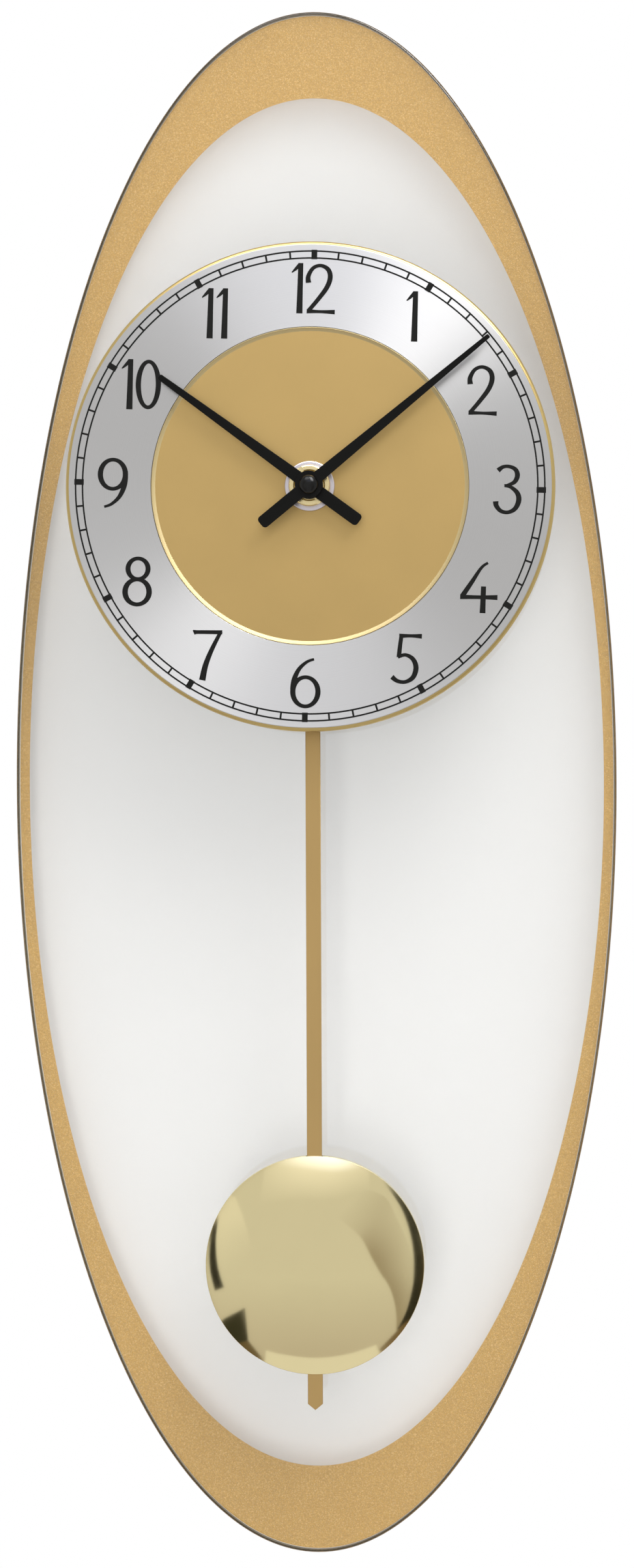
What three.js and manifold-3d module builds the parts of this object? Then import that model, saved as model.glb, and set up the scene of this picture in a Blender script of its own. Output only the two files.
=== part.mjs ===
// An oval wall clock with a pendulum, in millimetres, drawn as it is assembled.
//
// Everything is drawn in a flat frame first: x to the right, y up and z out of the wall towards
// the viewer, with the hand shaft on the z axis and the wall at z = 0. The last group turns that
// frame, so that the finished clock stands with +Z up and faces -Y, and puts its origin where
// the wall screw carries it.
//
// From the wall outwards: a pressed steel tray hangs on the screw and carries the oval glass. A
// folded bracket in front of the glass carries the quartz movement, and the dial is clamped on
// the movement's threaded bush. The pendulum hangs from a magnet lever in the lower part of the
// movement and swings between the glass and the dial.
import * as THREE from 'three';
import { mergeVertices } from 'three/addons/utils/BufferGeometryUtils.js';
import Module from 'manifold-3d';

const wasm = await Module();
wasm.setup();

// Glass panel
const panelHeight = 500;
const panelWidth = 195;
const panelDrop = 93.5; // panel centre below the hand shaft
const glassThickness = 4;
const bandAtEnds = 28.1; // gold print at the top and the bottom of the panel
const bandAtSides = 4.4;
const printMargin = 0.8; // clear glass outside the print
const printThickness = 0.2;
const serviceHoleRadius = 38;
const serviceHoleDrop = 6; // below the hand shaft
const wallGap = 12; // wall to glass

// Tray and hanger plate behind the glass
const sheetThickness = 1.2;
const gasketThickness = 1;
const flangeWidth = 14;
const panCorner = 10;
const windowMargin = 10; // tray floor left beside its window
const keyholeHeight = 42; // where the wall screw bears, above the hand shaft
const keyholeHeadRadius = 5;
const keyholeSlotWidth = 4.6;
const keyholeTravel = 9;
const plateEdge = 7; // hanger plate round its keyhole

// Bracket in front of the glass, and what fastens it
const bracketThickness = 1.5;
const bracketHeight = 36;
const footReach = 22;
const footEdge = 6; // screw to the edge of its foot, and to the pan behind
const screwSpread = 28; // between the upper and the lower screw of a foot
const screwRadius = 1.5;
const screwHeadRadius = 2.8;
const screwHeadHeight = 1.8;
const screwHeadStraight = 0.9; // height of the head's straight side
const screwHeadFlat = 1.7; // radius of the flat in front of it
const screwEndLength = 1.3; // screw end behind the flange
const grommetWall = 1.2;
const grommetFlangeRadius = 5.5;
const grommetFlangeThickness = 1;
const bumperRadius = 6;
const bumperPadThickness = 2;
const bumperSpread = 40;

// Movement case and battery
const caseWall = 1.5;
const caseCorner = 3;
const movementStandoff = 6; // glass to the movement, room for the setting knob
const legClearance = 1; // case to the bracket's legs
const batteryRadius = 7.1;
const batteryLength = 50.5;
const batteryNubRadius = 2.7;
const batteryNubLength = 1.2;
const batteryRoom = 0.4; // round the battery
const bayWall = 0.8;
const contactThickness = 0.4;
const contactHeight = 8;
const contactBow = 1.4; // how far the minus leaf stands out

// Wheels, tooth counts first: the rotor turns 30 times for one turn of the seconds wheel, and
// that one 60 times for one turn of the centre wheel. The motion work slows the hour hand by 12.
const rotorTeeth = 6;
const intermediateTeeth = 24;
const trainPinionTeeth = 6;
const secondsTeeth = 45;
const thirdTeeth = 45;
const centreTeeth = 48;
const cannonTeeth = 10;
const motionTeeth = 30;
const motionPinionTeeth = 8;
const hourTeeth = 32;
const settingTeeth = 10;
const trainModule = 0.4;
const motionModule = 0.5;
const toothTip = 0.9; // above the pitch circle, in modules
const toothRoot = 1.1; // below it, in modules
const toothShare = 0.62; // width of a tooth at its root, as a share of the pitch
const wheelThickness = 1;
const wheelGap = 1; // along the arbors, between neighbouring wheels
const pinionProud = 0.3; // how far a pinion stands past its wheel, each way
const motionWheelThickness = 2;
const hourWheelThickness = 1.5;
const arborRadius = 0.5;
const bearingWall = 0.9;
const pivotLength = 1.1; // in its bearing
const motionStudRadius = 0.8;
const rotorRadius = 3;
const rotorLength = 2.6;

// Where each arbor lies from the one before it, in degrees from the right
const thirdDirection = 160.8;
const secondsDirection = 107.4;
const intermediateDirection = 14;
const rotorDirection = 26;
const motionDirection = 36.9;
const settingDirection = 53.1;

// Electrics and setting knob
const statorThickness = 0.8;
const statorArm = 1.6;
const motorCoilRadius = 3;
const motorWindingRadius = 2.5;
const motorCoilCheek = 0.8;
const boardThickness = 0.8;
const boardPostRadius = 1.5;
const boardClearance = 1; // board to the setting wheel
const lowerPostRise = 5; // above the battery bay
const upperPostDrop = 8; // below the case's top
const crystalRadius = 1;
const crystalLength = 6;
const knobRadius = 7;
const knobThickness = 2.5;
const knobGrips = 18;
const knobGripDepth = 0.6;
const settingShaftRadius = 1.2;

// Bush, shafts and dial stack
const bushRadius = 5;
const bushFlangeRadius = 6.6;
const bushFlangeThickness = 0.6;
const hourPipeRadius = 2.6;
const minuteShaftRadius = 1.2;
const rubberWasherThickness = 1;
const dialRadius = 77.6;
const dialBaseThickness = 4.5;
const dialEdgeBevel = 1.1;
const bevelMiddle = 0.3; // share of a bevel left at the middle of its rounding
const numeralRingRadius = 76.4;
const numeralRingThickness = 1.5;
const centreDiscRadius = 50.2;
const centreDiscThickness = 0.8;
const centreLipWidth = 0.8; // the disc's rim slopes up to the ring round it
const washerRadius = 7.9;
const washerThickness = 0.8;
const ringNutRadius = 6.5;
const ringNutThickness = 3.4;
const ringNutSlot = 1.2;
const ringNutAngle = 119; // where its slots point, in degrees
const dialTurn = 1.4; // degrees clockwise, as the dial sits on its nut

// Numerals and minute track, in relief where the real ones are printed
const numeralHeight = 15.9;
const numeralCircle = 62.4;
const numeralRelief = 0.2;
const trackInnerRadius = 72;
const trackOuterRadius = 74.2;
const trackLine = 0.5;
const minuteMarkWidth = 0.6;
const hourMarkWidth = 1.9;

// Hands
const handThickness = 0.5;
const handGap = 1.9; // hour hand to minute hand
const hubRadius = 4.2;
const hourHandLength = 58.5;
const hourHandTipWidth = 1.9;
const minuteHandLength = 73.3;
const minuteHandTipWidth = 1.4;
const handRootWidth = 3.6;
const handTailLength = 19.6;
const handTailWidth = 3.9;
const capRadius = 3;
const capHeight = 2.5;
const capWall = 0.7;
const capProfile = [[1, 0.3], [0.8, 0.75], [0.45, 0.96], [0, 1]]; // shares of radius and height
const hubShoulder = 55; // where the hub's round ends at the blade, in degrees from its side
const hourHandAngle = -53.8; // degrees clockwise from straight up
const minuteHandAngle = 50.8;

// Pendulum
const swing = 5; // degrees to each side
const pivotRadius = 1;
const driveReach = 14; // pivot down to the drive coil and its magnet
const driveCoilRadius = 7;
const driveCoilHeight = 4.5;
const driveCoilBore = 1.5;
const magnetRadius = 3.5;
const magnetThickness = 2;
const magnetGap = 1;
const coilRoom = 4; // drive coil to the case's lower wall
const leverThickness = 2.5;
const leverWidth = 5;
const leverEye = 3.5; // radius round the pivot pin
const ribWidth = 1;
const pegRadius = 1;
const pegOverhang = 0.8; // peg past the rod that hangs on it
const rodWidth = 4.8;
const rodThickness = 1;
const rodEnd = 4.5; // rod above its peg
const rodTipDrop = 294.4; // below the hand shaft, as bobDrop is
const rodTipHeight = 2;
const bobDrop = 248;
const bobRadius = 35;
const bobDomeHeight = 6.5;
const bobRim = 3; // straight rim between the back plate and the dome
const bobShell = 0.8;
const bobBackThickness = 0.6;
const clipThickness = 0.4;
const clipBow = 1.2;
const clipWidth = 6;
const clipLength = 28;

// Fits
const fitGap = 0.3; // between pieces that only locate each other
const runningGap = 0.15; // radial, between a shaft and its hole
const roomInside = 0.8; // between the case and what turns or stands in it
const cutPast = 1; // how far a cut runs past the face that it opens

// Finishes
const finish = (color, roughness, metalness) => (
  new THREE.MeshStandardMaterial({ color, roughness, metalness }));
const clearGlass = new THREE.MeshStandardMaterial({
  color: 0xdfe8e4,
  roughness: 0.05,
  metalness: 0,
  transparent: true,
  opacity: 0.3,
});
const goldPrint = finish(0xc6a165, 0.45, 0.6);
const goldLacquer = finish(0xc2a15f, 0.4, 0.8);
const brushedAluminium = finish(0xc9c8c5, 0.35, 1);
const polishedBrass = finish(0xd8cb92, 0.08, 1);
const brass = finish(0xcdb26a, 0.3, 1);
const blackLacquer = finish(0x161514, 0.35, 0);
const zincSteel = finish(0xb9b7b8, 0.35, 1);
const blackSteel = finish(0x2a2a2c, 0.5, 0.6);
const blackPlastic = finish(0x1d1d1f, 0.55, 0);
const whitePlastic = finish(0xe6e4de, 0.5, 0);
const clearPlastic = finish(0xdcdcd8, 0.3, 0);
const blackRubber = finish(0x232323, 0.9, 0);
const greyFelt = finish(0x8d8d8b, 1, 0);
const copper = finish(0xb06a3c, 0.4, 1);
const boardGreen = finish(0x2f6b45, 0.5, 0);
const batteryCoat = finish(0x3a5f8c, 0.35, 0.4);

// Points, angles and outlines in the flat frame
const radians = (degrees) => THREE.MathUtils.degToRad(degrees);
const at = (x, y) => new THREE.Vector2(x, y);
const polar = (distance, angle) => at(distance * Math.cos(angle), distance * Math.sin(angle));

function ellipse(radiusX, radiusY, steps, centre = at(0, 0)) {
  const curve = new THREE.EllipseCurve(centre.x, centre.y, radiusX, radiusY, 0, 2 * Math.PI);
  return curve.getPoints(steps).slice(0, steps);
}

const circle = (radius, steps = 16, centre = at(0, 0)) => ellipse(radius, radius, steps, centre);

function arc(x, y, radiusX, radiusY, from, to, steps) {
  const curve = new THREE.EllipseCurve(x, y, radiusX, radiusY, radians(from), radians(to), to < from);
  return curve.getPoints(steps);
}

function rectangle(left, bottom, right, top) {
  return [at(left, bottom), at(right, bottom), at(right, top), at(left, top)];
}

function roundedRectangle(left, bottom, right, top, radius) {
  const steps = 4;
  return [
    ...arc(right - radius, bottom + radius, radius, radius, -90, 0, steps),
    ...arc(right - radius, top - radius, radius, radius, 0, 90, steps),
    ...arc(left + radius, top - radius, radius, radius, 90, 180, steps),
    ...arc(left + radius, bottom + radius, radius, radius, 180, 270, steps),
  ];
}

// Solids: a flat piece between two planes, with its holes given as outlines
function slab(outline, back, front, holes = []) {
  const shape = new THREE.Shape(outline);
  shape.holes = holes.map((hole) => new THREE.Path(hole));
  const geometry = new THREE.ExtrudeGeometry(shape, { depth: front - back, bevelEnabled: false });
  return geometry.translate(0, 0, back);
}

// The same with its outline in y and z, from one x to another
function slabAcross(outline, left, right) {
  const toX = new THREE.Matrix4().makeBasis(
    new THREE.Vector3(0, 1, 0), new THREE.Vector3(0, 0, 1), new THREE.Vector3(1, 0, 0));
  return slab(outline, left, right).applyMatrix4(toX);
}

// The same with its outline in x and z, from one y to another
function slabUp(outline, bottom, top) {
  const toY = new THREE.Matrix4().makeBasis(
    new THREE.Vector3(1, 0, 0), new THREE.Vector3(0, 0, 1), new THREE.Vector3(0, -1, 0));
  return slab(outline, -top, -bottom).applyMatrix4(toY);
}

// A round piece from its [radius, plane] profile, turned about the z axis
function turned(profile, steps) {
  const points = profile.map(([radius, plane]) => at(radius, plane));
  return new THREE.LatheGeometry(points, steps).rotateX(Math.PI / 2);
}

function solid(geometry) {
  const flat = geometry.index ? geometry.toNonIndexed() : geometry.clone();
  flat.deleteAttribute('normal');
  flat.deleteAttribute('uv');
  const merged = mergeVertices(flat, 1e-4);
  return new wasm.Manifold(new wasm.Mesh({
    numProp: 3,
    vertProperties: merged.attributes.position.array,
    triVerts: new Uint32Array(merged.index.array),
  }));
}

// One geometry from pieces joined together and then cut
function built(pieces, cuts = []) {
  let whole = pieces.map(solid).reduce((sum, next) => sum.add(next));
  for (const cut of cuts) {
    whole = whole.subtract(solid(cut));
  }
  const mesh = whole.getMesh();
  const geometry = new THREE.BufferGeometry();
  const positions = new Float32Array(mesh.vertProperties);
  geometry.setAttribute('position', new THREE.BufferAttribute(positions, 3));
  geometry.setIndex(new THREE.BufferAttribute(new Uint32Array(mesh.triVerts), 1));
  geometry.computeVertexNormals();
  return geometry;
}

function named(name, geometry, material, place = at(0, 0)) {
  const mesh = new THREE.Mesh(geometry, material);
  mesh.name = name;
  mesh.position.set(place.x, place.y, 0);
  return mesh;
}

function gather(...members) {
  const group = new THREE.Group();
  group.add(...members.flat());
  return group;
}

// Wheels have pointed teeth with room between them, as cheap moulded ones do
const pitchRadius = (teeth, module) => teeth * module / 2;
const tipRadius = (teeth, module) => pitchRadius(teeth, module) + toothTip * module;

function wheelOutline(teeth, module, phase) {
  const root = pitchRadius(teeth, module) - toothRoot * module;
  const halfRoot = toothShare * Math.PI / teeth;
  const outline = [];
  for (let tooth = 0; tooth < teeth; tooth += 1) {
    const middle = phase + tooth * 2 * Math.PI / teeth;
    outline.push(polar(root, middle - halfRoot));
    outline.push(polar(tipRadius(teeth, module), middle));
    outline.push(polar(root, middle + halfRoot));
  }
  return outline;
}

// The angle of a driven wheel's tooth that puts it in mesh with its driver at rest
function meshPhase(driver, driverTeeth, driverPhase, driven, drivenTeeth) {
  const direction = driven.clone().sub(driver).angle();
  const share = (direction - driverPhase) * driverTeeth / (2 * Math.PI);
  return direction + Math.PI - (0.5 - share) * 2 * Math.PI / drivenTeeth;
}

// Where the next arbor stands: one centre distance from the last, in a given direction
function nextArbor(from, degrees, teethA, teethB, module) {
  return polar(pitchRadius(teethA + teethB, module), radians(degrees)).add(from);
}

const shaft = at(0, 0);
const thirdArbor = nextArbor(shaft, thirdDirection, centreTeeth, trainPinionTeeth, trainModule);
const secondsArbor = nextArbor(
  thirdArbor, secondsDirection, thirdTeeth, trainPinionTeeth, trainModule);
const intermediateArbor = nextArbor(
  secondsArbor, intermediateDirection, secondsTeeth, trainPinionTeeth, trainModule);
const rotorArbor = nextArbor(
  intermediateArbor, rotorDirection, intermediateTeeth, rotorTeeth, trainModule);
const motionArbor = nextArbor(shaft, motionDirection, motionTeeth, cannonTeeth, motionModule);
const settingArbor = nextArbor(
  motionArbor, settingDirection, motionTeeth, settingTeeth, motionModule);

// Planes of the frame and of the wheels, counted from the wall
const glassBack = wallGap;
const glassFront = glassBack + glassThickness;
const flangeFront = glassBack - gasketThickness;
const flangeBack = flangeFront - sheetThickness;
const footBack = glassFront + grommetFlangeThickness;
const footFront = footBack + bracketThickness;
const movementBack = glassFront + movementStandoff;
const innerBack = movementBack + caseWall;
const rotorLayer = innerBack + roomInside;
const rotorBack = rotorLayer + wheelThickness + roomInside;
const secondsLayer = rotorBack + rotorLength + roomInside;
const thirdLayer = secondsLayer + wheelThickness + wheelGap;
const centreLayer = thirdLayer + wheelThickness + wheelGap;
const motionLayer = centreLayer + wheelThickness + wheelGap;
const hourLayer = motionLayer + motionWheelThickness + wheelGap;
const batteryPlane = movementBack + batteryRoom + batteryRadius;
const bayFront = batteryPlane + batteryRadius + batteryRoom + bayWall;
const innerFront = Math.max(hourLayer + hourWheelThickness, bayFront) + roomInside;
const movementFront = innerFront + caseWall;
const seam = secondsLayer + roomInside;
const settingSeat = motionLayer + motionWheelThickness + fitGap;
const boardFront = motionLayer + motionWheelThickness;
const boardBack = boardFront - boardThickness;
const statorBack = rotorBack + (rotorLength - statorThickness) / 2;
const statorFront = statorBack + statorThickness;
const coilPlane = (statorBack + statorFront) / 2;

// Planes of the dial stack and the hands
const bracketFront = movementFront + bracketThickness;
const dialBack = bracketFront + rubberWasherThickness;
const numeralRingBack = dialBack + dialBaseThickness;
const numeralRingFront = numeralRingBack + numeralRingThickness;
const centreDiscFront = numeralRingBack + centreDiscThickness;
const ringNutBack = centreDiscFront + washerThickness;
const ringNutFront = ringNutBack + ringNutThickness;
const bushFront = ringNutFront - fitGap;
const hourHandBack = ringNutFront + 2 * fitGap;
const hourHandFront = hourHandBack + handThickness;
const minuteHandBack = hourHandFront + handGap;
const minuteHandFront = minuteHandBack + handThickness;

// Planes of the pendulum
const driveCoilFront = innerBack + driveCoilHeight;
const magnetBack = driveCoilFront + magnetGap;
const leverBack = magnetBack + magnetThickness;
const leverFront = leverBack + leverThickness;
const rodBack = leverFront + fitGap;
const rodFront = rodBack + rodThickness;

// Extents of the movement, from what it holds
const leftContact = contactThickness + contactBow;
const bayHalfLength = (batteryLength + leftContact + contactThickness + runningGap) / 2;
const bayTop = -tipRadius(centreTeeth, trainModule) - roomInside;
const batteryHeight = bayTop - bayWall - batteryRoom - batteryRadius;
const bayBottom = batteryHeight - batteryRadius - batteryRoom - bayWall;
const wheelReach = tipRadius(secondsTeeth, trainModule) - secondsArbor.x + roomInside;
const caseHalfWidth = Math.max(bayHalfLength + bayWall + fitGap, wheelReach) + caseWall;
const coilHeight = rotorArbor.y + rotorRadius + statorArm;
const caseTop = Math.max(
  secondsArbor.y + tipRadius(secondsTeeth, trainModule),
  intermediateArbor.y + tipRadius(intermediateTeeth, trainModule),
  coilHeight + motorCoilRadius) + roomInside + caseWall;

// Places of the circuit board and of the motor's coil and stator
const boardLeft = settingArbor.x + tipRadius(settingTeeth, motionModule) + boardClearance;
const boardRight = caseHalfWidth - caseWall - fitGap;
const boardMiddle = (boardLeft + boardRight) / 2;
const boardPosts = [at(boardMiddle, bayTop + lowerPostRise), at(boardMiddle, caseTop - upperPostDrop)];
const coilLeft = rotorArbor.x + rotorRadius + 2 * statorArm;
const statorRight = caseHalfWidth - caseWall - roomInside;
const coilRight = statorRight - 2 * statorArm;
const statorPost = at(statorRight - boardPostRadius, rotorArbor.y);

// Heights of the pendulum, from the movement down
const pivotHeight = bayBottom - 2 * roomInside - leverEye;
const driveHeight = pivotHeight - driveReach;
const caseBottom = driveHeight - driveCoilRadius - coilRoom - caseWall;
const pegHeight = caseBottom - rodEnd;
const leverEnd = pegHeight - rodEnd;

// Extents of the frame, from the movement and the screws
const legInside = caseHalfWidth + legClearance;
const legOutside = legInside + bracketThickness;
const footEnd = legOutside + footReach;
const screwX = footEnd - footEdge;
const screwPlaces = [
  at(-screwX, screwSpread / 2),
  at(screwX, screwSpread / 2),
  at(-screwX, -screwSpread / 2),
  at(screwX, -screwSpread / 2),
];
const panHalfWidth = screwX - footEdge;
const plateTop = keyholeHeight + plateEdge;
const panTop = plateTop + sheetThickness + fitGap;
const panBottom = -serviceHoleDrop - serviceHoleRadius;
const windowTop = keyholeHeight + plateEdge / 2;

function panelOutline(insetX, insetY) {
  return ellipse(panelWidth / 2 - insetX, panelHeight / 2 - insetY, 72, at(0, -panelDrop));
}

function glassParts() {
  const grommetHole = screwRadius + runningGap + grommetWall + runningGap;
  const glass = slab(panelOutline(0, 0), glassBack, glassFront, [
    circle(serviceHoleRadius, 36, at(0, -serviceHoleDrop)),
    ...screwPlaces.map((place) => circle(grommetHole, 16, place)),
  ]);
  const band = slab(
    panelOutline(printMargin, printMargin),
    glassBack - printThickness,
    glassBack,
    [panelOutline(bandAtSides, bandAtEnds)],
  );
  return gather(
    named('glass_panel', glass, clearGlass),
    named('gold_band', band, goldPrint),
    bumper('left', -1),
    bumper('right', 1),
  );
}

// Two spacers behind the lower band keep the panel parallel to the wall
function bumper(side, sign) {
  const x = sign * bumperSpread / 2;
  const edge = (insetX, insetY) => (
    (panelHeight / 2 - insetY) * Math.sqrt(1 - (x / (panelWidth / 2 - insetX)) ** 2));
  const bandMiddle = (edge(printMargin, printMargin) + edge(bandAtSides, bandAtEnds)) / 2;
  const place = at(x, -panelDrop - bandMiddle);
  const body = slab(circle(bumperRadius, 20), bumperPadThickness, glassBack - printThickness);
  const pad = slab(circle(bumperRadius - fitGap, 20), 0, bumperPadThickness);
  return gather(
    named(`wall_bumper_${side}`, body, clearPlastic, place),
    named(`bumper_pad_${side}`, pad, greyFelt, place),
  );
}

function frameParts() {
  const pan = (inset) => roundedRectangle(
    -panHalfWidth + inset, panBottom + inset, panHalfWidth - inset, panTop - inset, panCorner - inset);
  const rim = roundedRectangle(
    -panHalfWidth - flangeWidth, panBottom - flangeWidth / 2,
    panHalfWidth + flangeWidth, panTop + flangeWidth / 2, 2 * panCorner);
  const window = roundedRectangle(
    -panHalfWidth + windowMargin, panBottom + windowMargin,
    panHalfWidth - windowMargin, windowTop, panCorner / 2);
  const tray = built(
    [slab(rim, flangeBack, flangeFront), slab(pan(0), 0, flangeFront)],
    [
      slab(pan(sheetThickness), sheetThickness, flangeFront + cutPast),
      slab(window, -cutPast, sheetThickness + cutPast),
      ...screwPlaces.map((place) => slab(
        circle(screwRadius + runningGap, 16, place), flangeBack - cutPast, flangeFront + cutPast)),
    ],
  );
  const gasket = slab(rim, flangeFront, glassBack, [
    pan(0), ...screwPlaces.map((place) => circle(screwRadius + fitGap, 16, place))]);
  return gather(
    named('hanger_tray', tray, blackSteel),
    named('hanger_plate', hangerPlate(), zincSteel),
    named('rear_gasket', gasket, blackRubber),
    named('carrier_bracket', bracket(), zincSteel),
    fastenings(),
  );
}

// The plate across the tray's window, with the keyhole that hangs on the wall screw
function hangerPlate() {
  const half = keyholeSlotWidth / 2;
  const head = keyholeHeight - keyholeTravel;
  const neck = Math.asin(half / keyholeHeadRadius);
  const neckDegrees = THREE.MathUtils.radToDeg(neck);
  const keyhole = [
    ...arc(0, head, keyholeHeadRadius, keyholeHeadRadius, 90 + neckDegrees, 450 - neckDegrees, 20),
    ...arc(0, keyholeHeight - half, half, half, 0, 180, 8),
  ];
  const halfWidth = panHalfWidth - windowMargin / 2;
  const outline = roundedRectangle(
    -halfWidth, head - keyholeHeadRadius - plateEdge / 2, halfWidth, plateTop, panCorner / 2);
  return slab(outline, sheetThickness, 2 * sheetThickness, [keyhole]);
}

// A hat folded from one strip: its web holds the movement, its feet stand on the glass
function bracket() {
  const side = (sign) => [
    at(sign * legInside, movementFront),
    at(sign * legInside, footBack),
    at(sign * footEnd, footBack),
    at(sign * footEnd, footFront),
    at(sign * legOutside, footFront),
    at(sign * legOutside, bracketFront),
  ];
  const strip = slabUp([...side(1), ...side(-1).reverse()], -bracketHeight / 2, bracketHeight / 2);
  const hole = (radius, place, back, front) => (
    slab(circle(radius, 20, place), back - cutPast, front + cutPast));
  return built([strip], [
    hole(bushRadius + fitGap, shaft, movementFront, bracketFront),
    ...screwPlaces.map((place) => hole(screwRadius + fitGap, place, footBack, footFront)),
  ]);
}

function fastenings() {
  const bore = screwRadius + runningGap;
  const headFront = footFront + screwHeadHeight;
  const grommet = [
    [bore, glassBack],
    [bore + grommetWall, glassBack],
    [bore + grommetWall, glassFront],
    [grommetFlangeRadius, glassFront],
    [grommetFlangeRadius, footBack],
    [bore, footBack],
    [bore, glassBack],
  ];
  const screw = [
    [0, flangeBack - screwEndLength],
    [screwRadius, flangeBack - screwEndLength],
    [screwRadius, footFront],
    [screwHeadRadius, footFront],
    [screwHeadRadius, footFront + screwHeadStraight],
    [screwHeadFlat, headFront],
    [0, headFront],
  ];
  return gather(screwPlaces.flatMap((place, index) => [
    named(`glass_grommet_${index + 1}`, turned(grommet, 10), blackRubber, place),
    named(`glass_screw_${index + 1}`, turned(screw, 10), zincSteel, place),
  ]));
}

// Each arbor turns between two bearing posts, whose ends are its seats
const arbors = {
  rotor: {
    centre: rotorArbor,
    backSeat: rotorLayer - fitGap,
    frontSeat: rotorBack + rotorLength + fitGap,
  },
  intermediate: {
    centre: intermediateArbor,
    backSeat: rotorLayer - fitGap,
    frontSeat: secondsLayer + wheelThickness + pinionProud + fitGap,
  },
  seconds: {
    centre: secondsArbor,
    backSeat: secondsLayer - fitGap,
    frontSeat: thirdLayer + wheelThickness + pinionProud + fitGap,
  },
  third: {
    centre: thirdArbor,
    backSeat: secondsLayer - fitGap,
    frontSeat: centreLayer + wheelThickness + pinionProud + fitGap,
  },
};

const arborRod = ({ backSeat, frontSeat }) => (
  slab(circle(arborRadius, 12), backSeat - pivotLength, frontSeat + pivotLength));

const trainWheel = (teeth, phase, back) => (
  slab(wheelOutline(teeth, trainModule, phase), back, back + wheelThickness));

const trainPinion = (teeth, phase, back) => (
  slab(wheelOutline(teeth, trainModule, phase), back - pinionProud, back + wheelThickness + pinionProud));

// The slow train: the motor's rotor drives the intermediate, seconds, third and centre wheels
function trainParts() {
  const intermediatePinionPhase = meshPhase(
    secondsArbor, secondsTeeth, 0, intermediateArbor, trainPinionTeeth);
  const rotorPhase = meshPhase(intermediateArbor, intermediateTeeth, 0, rotorArbor, rotorTeeth);
  const thirdPhase = meshPhase(secondsArbor, trainPinionTeeth, 0, thirdArbor, thirdTeeth);
  const centrePhase = meshPhase(thirdArbor, trainPinionTeeth, 0, shaft, centreTeeth);
  const rotor = built([
    trainWheel(rotorTeeth, rotorPhase, rotorLayer),
    slab(circle(rotorRadius, 20), rotorBack, rotorBack + rotorLength),
    arborRod(arbors.rotor),
  ]);
  const intermediate = built([
    trainWheel(intermediateTeeth, 0, rotorLayer),
    trainPinion(trainPinionTeeth, intermediatePinionPhase, secondsLayer),
    arborRod(arbors.intermediate),
  ]);
  const seconds = built([
    trainWheel(secondsTeeth, 0, secondsLayer),
    trainPinion(trainPinionTeeth, 0, thirdLayer),
    arborRod(arbors.seconds),
  ]);
  const third = built([
    trainWheel(thirdTeeth, thirdPhase, thirdLayer),
    trainPinion(trainPinionTeeth, 0, centreLayer),
    arborRod(arbors.third),
  ]);
  const centre = slab(
    wheelOutline(centreTeeth, trainModule, centrePhase),
    centreLayer,
    centreLayer + wheelThickness,
    [circle(minuteShaftRadius + runningGap)],
  );
  return gather(
    named('rotor', rotor, blackSteel, rotorArbor),
    named('intermediate_wheel', intermediate, whitePlastic, intermediateArbor),
    named('seconds_wheel', seconds, whitePlastic, secondsArbor),
    named('third_wheel', third, whitePlastic, thirdArbor),
    named('centre_wheel', centre, brass),
  );
}

// The motion work: the cannon on the minute shaft drives the motion wheel, whose pinion drives
// the hour wheel. The setting knob's wheel meshes with the motion wheel too.
function motionWorkParts() {
  const motionPhase = meshPhase(shaft, cannonTeeth, 0, motionArbor, motionTeeth);
  const settingPhase = meshPhase(motionArbor, motionTeeth, motionPhase, settingArbor, settingTeeth);
  const hourPhase = meshPhase(motionArbor, motionPinionTeeth, 0, shaft, hourTeeth);
  const wheel = (teeth, phase, back, front) => (
    slab(wheelOutline(teeth, motionModule, phase), back, front));
  const motionFront = motionLayer + motionWheelThickness;
  const hourFront = hourLayer + hourWheelThickness;
  const collarBack = centreLayer - 2 * fitGap;
  const minuteShaft = built([
    slab(circle(arborRadius, 12), secondsLayer - fitGap - pivotLength, centreLayer),
    slab(circle(minuteShaftRadius), collarBack, minuteHandFront + capHeight - capWall - fitGap),
    slab(circle(minuteShaftRadius + 2 * fitGap), collarBack, centreLayer - fitGap),
    wheel(cannonTeeth, 0, motionLayer - fitGap, motionFront),
  ]);
  const motionWheel = built(
    [
      wheel(motionTeeth, motionPhase, motionLayer, motionFront),
      wheel(motionPinionTeeth, 0, motionLayer, hourFront + pinionProud),
    ],
    [slab(circle(motionStudRadius + runningGap, 12), motionLayer - cutPast, innerFront)],
  );
  const hourWheel = built(
    [
      wheel(hourTeeth, hourPhase, hourLayer, hourFront),
      slab(circle(hourPipeRadius, 20), hourLayer, hourHandFront + 2 * fitGap),
    ],
    [slab(circle(minuteShaftRadius + 2 * runningGap), hourLayer - cutPast, minuteHandBack)],
  );
  return gather(
    named('minute_shaft', minuteShaft, brass),
    named('motion_wheel', motionWheel, whitePlastic, motionArbor),
    named('hour_wheel', hourWheel, whitePlastic),
    named('setting_knob', settingKnob(wheel(settingTeeth, settingPhase, motionLayer, motionFront)),
      blackPlastic, settingArbor),
  );
}

// The knob stands behind the movement, on a shaft that carries the setting wheel inside
function settingKnob(wheel) {
  const front = movementBack - fitGap;
  const grip = Math.PI / knobGrips;
  const outline = [];
  for (let index = 0; index < knobGrips; index += 1) {
    outline.push(polar(knobRadius, 2 * index * grip));
    outline.push(polar(knobRadius - knobGripDepth, (2 * index + 1) * grip));
  }
  return built([
    slab(outline, front - knobThickness, front),
    slab(circle(settingShaftRadius), front - knobThickness, settingSeat + pivotLength),
    wheel,
  ]);
}

// Case: two shells that meet at a seam, with a bearing post for each arbor
const postRadius = (radius) => radius + runningGap + bearingWall;
const post = (centre, radius, back, front) => slab(circle(postRadius(radius), 10, centre), back, front);
const bearingHole = (centre, radius, back, front) => (
  slab(circle(radius + runningGap, 10, centre), back, front));

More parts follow.
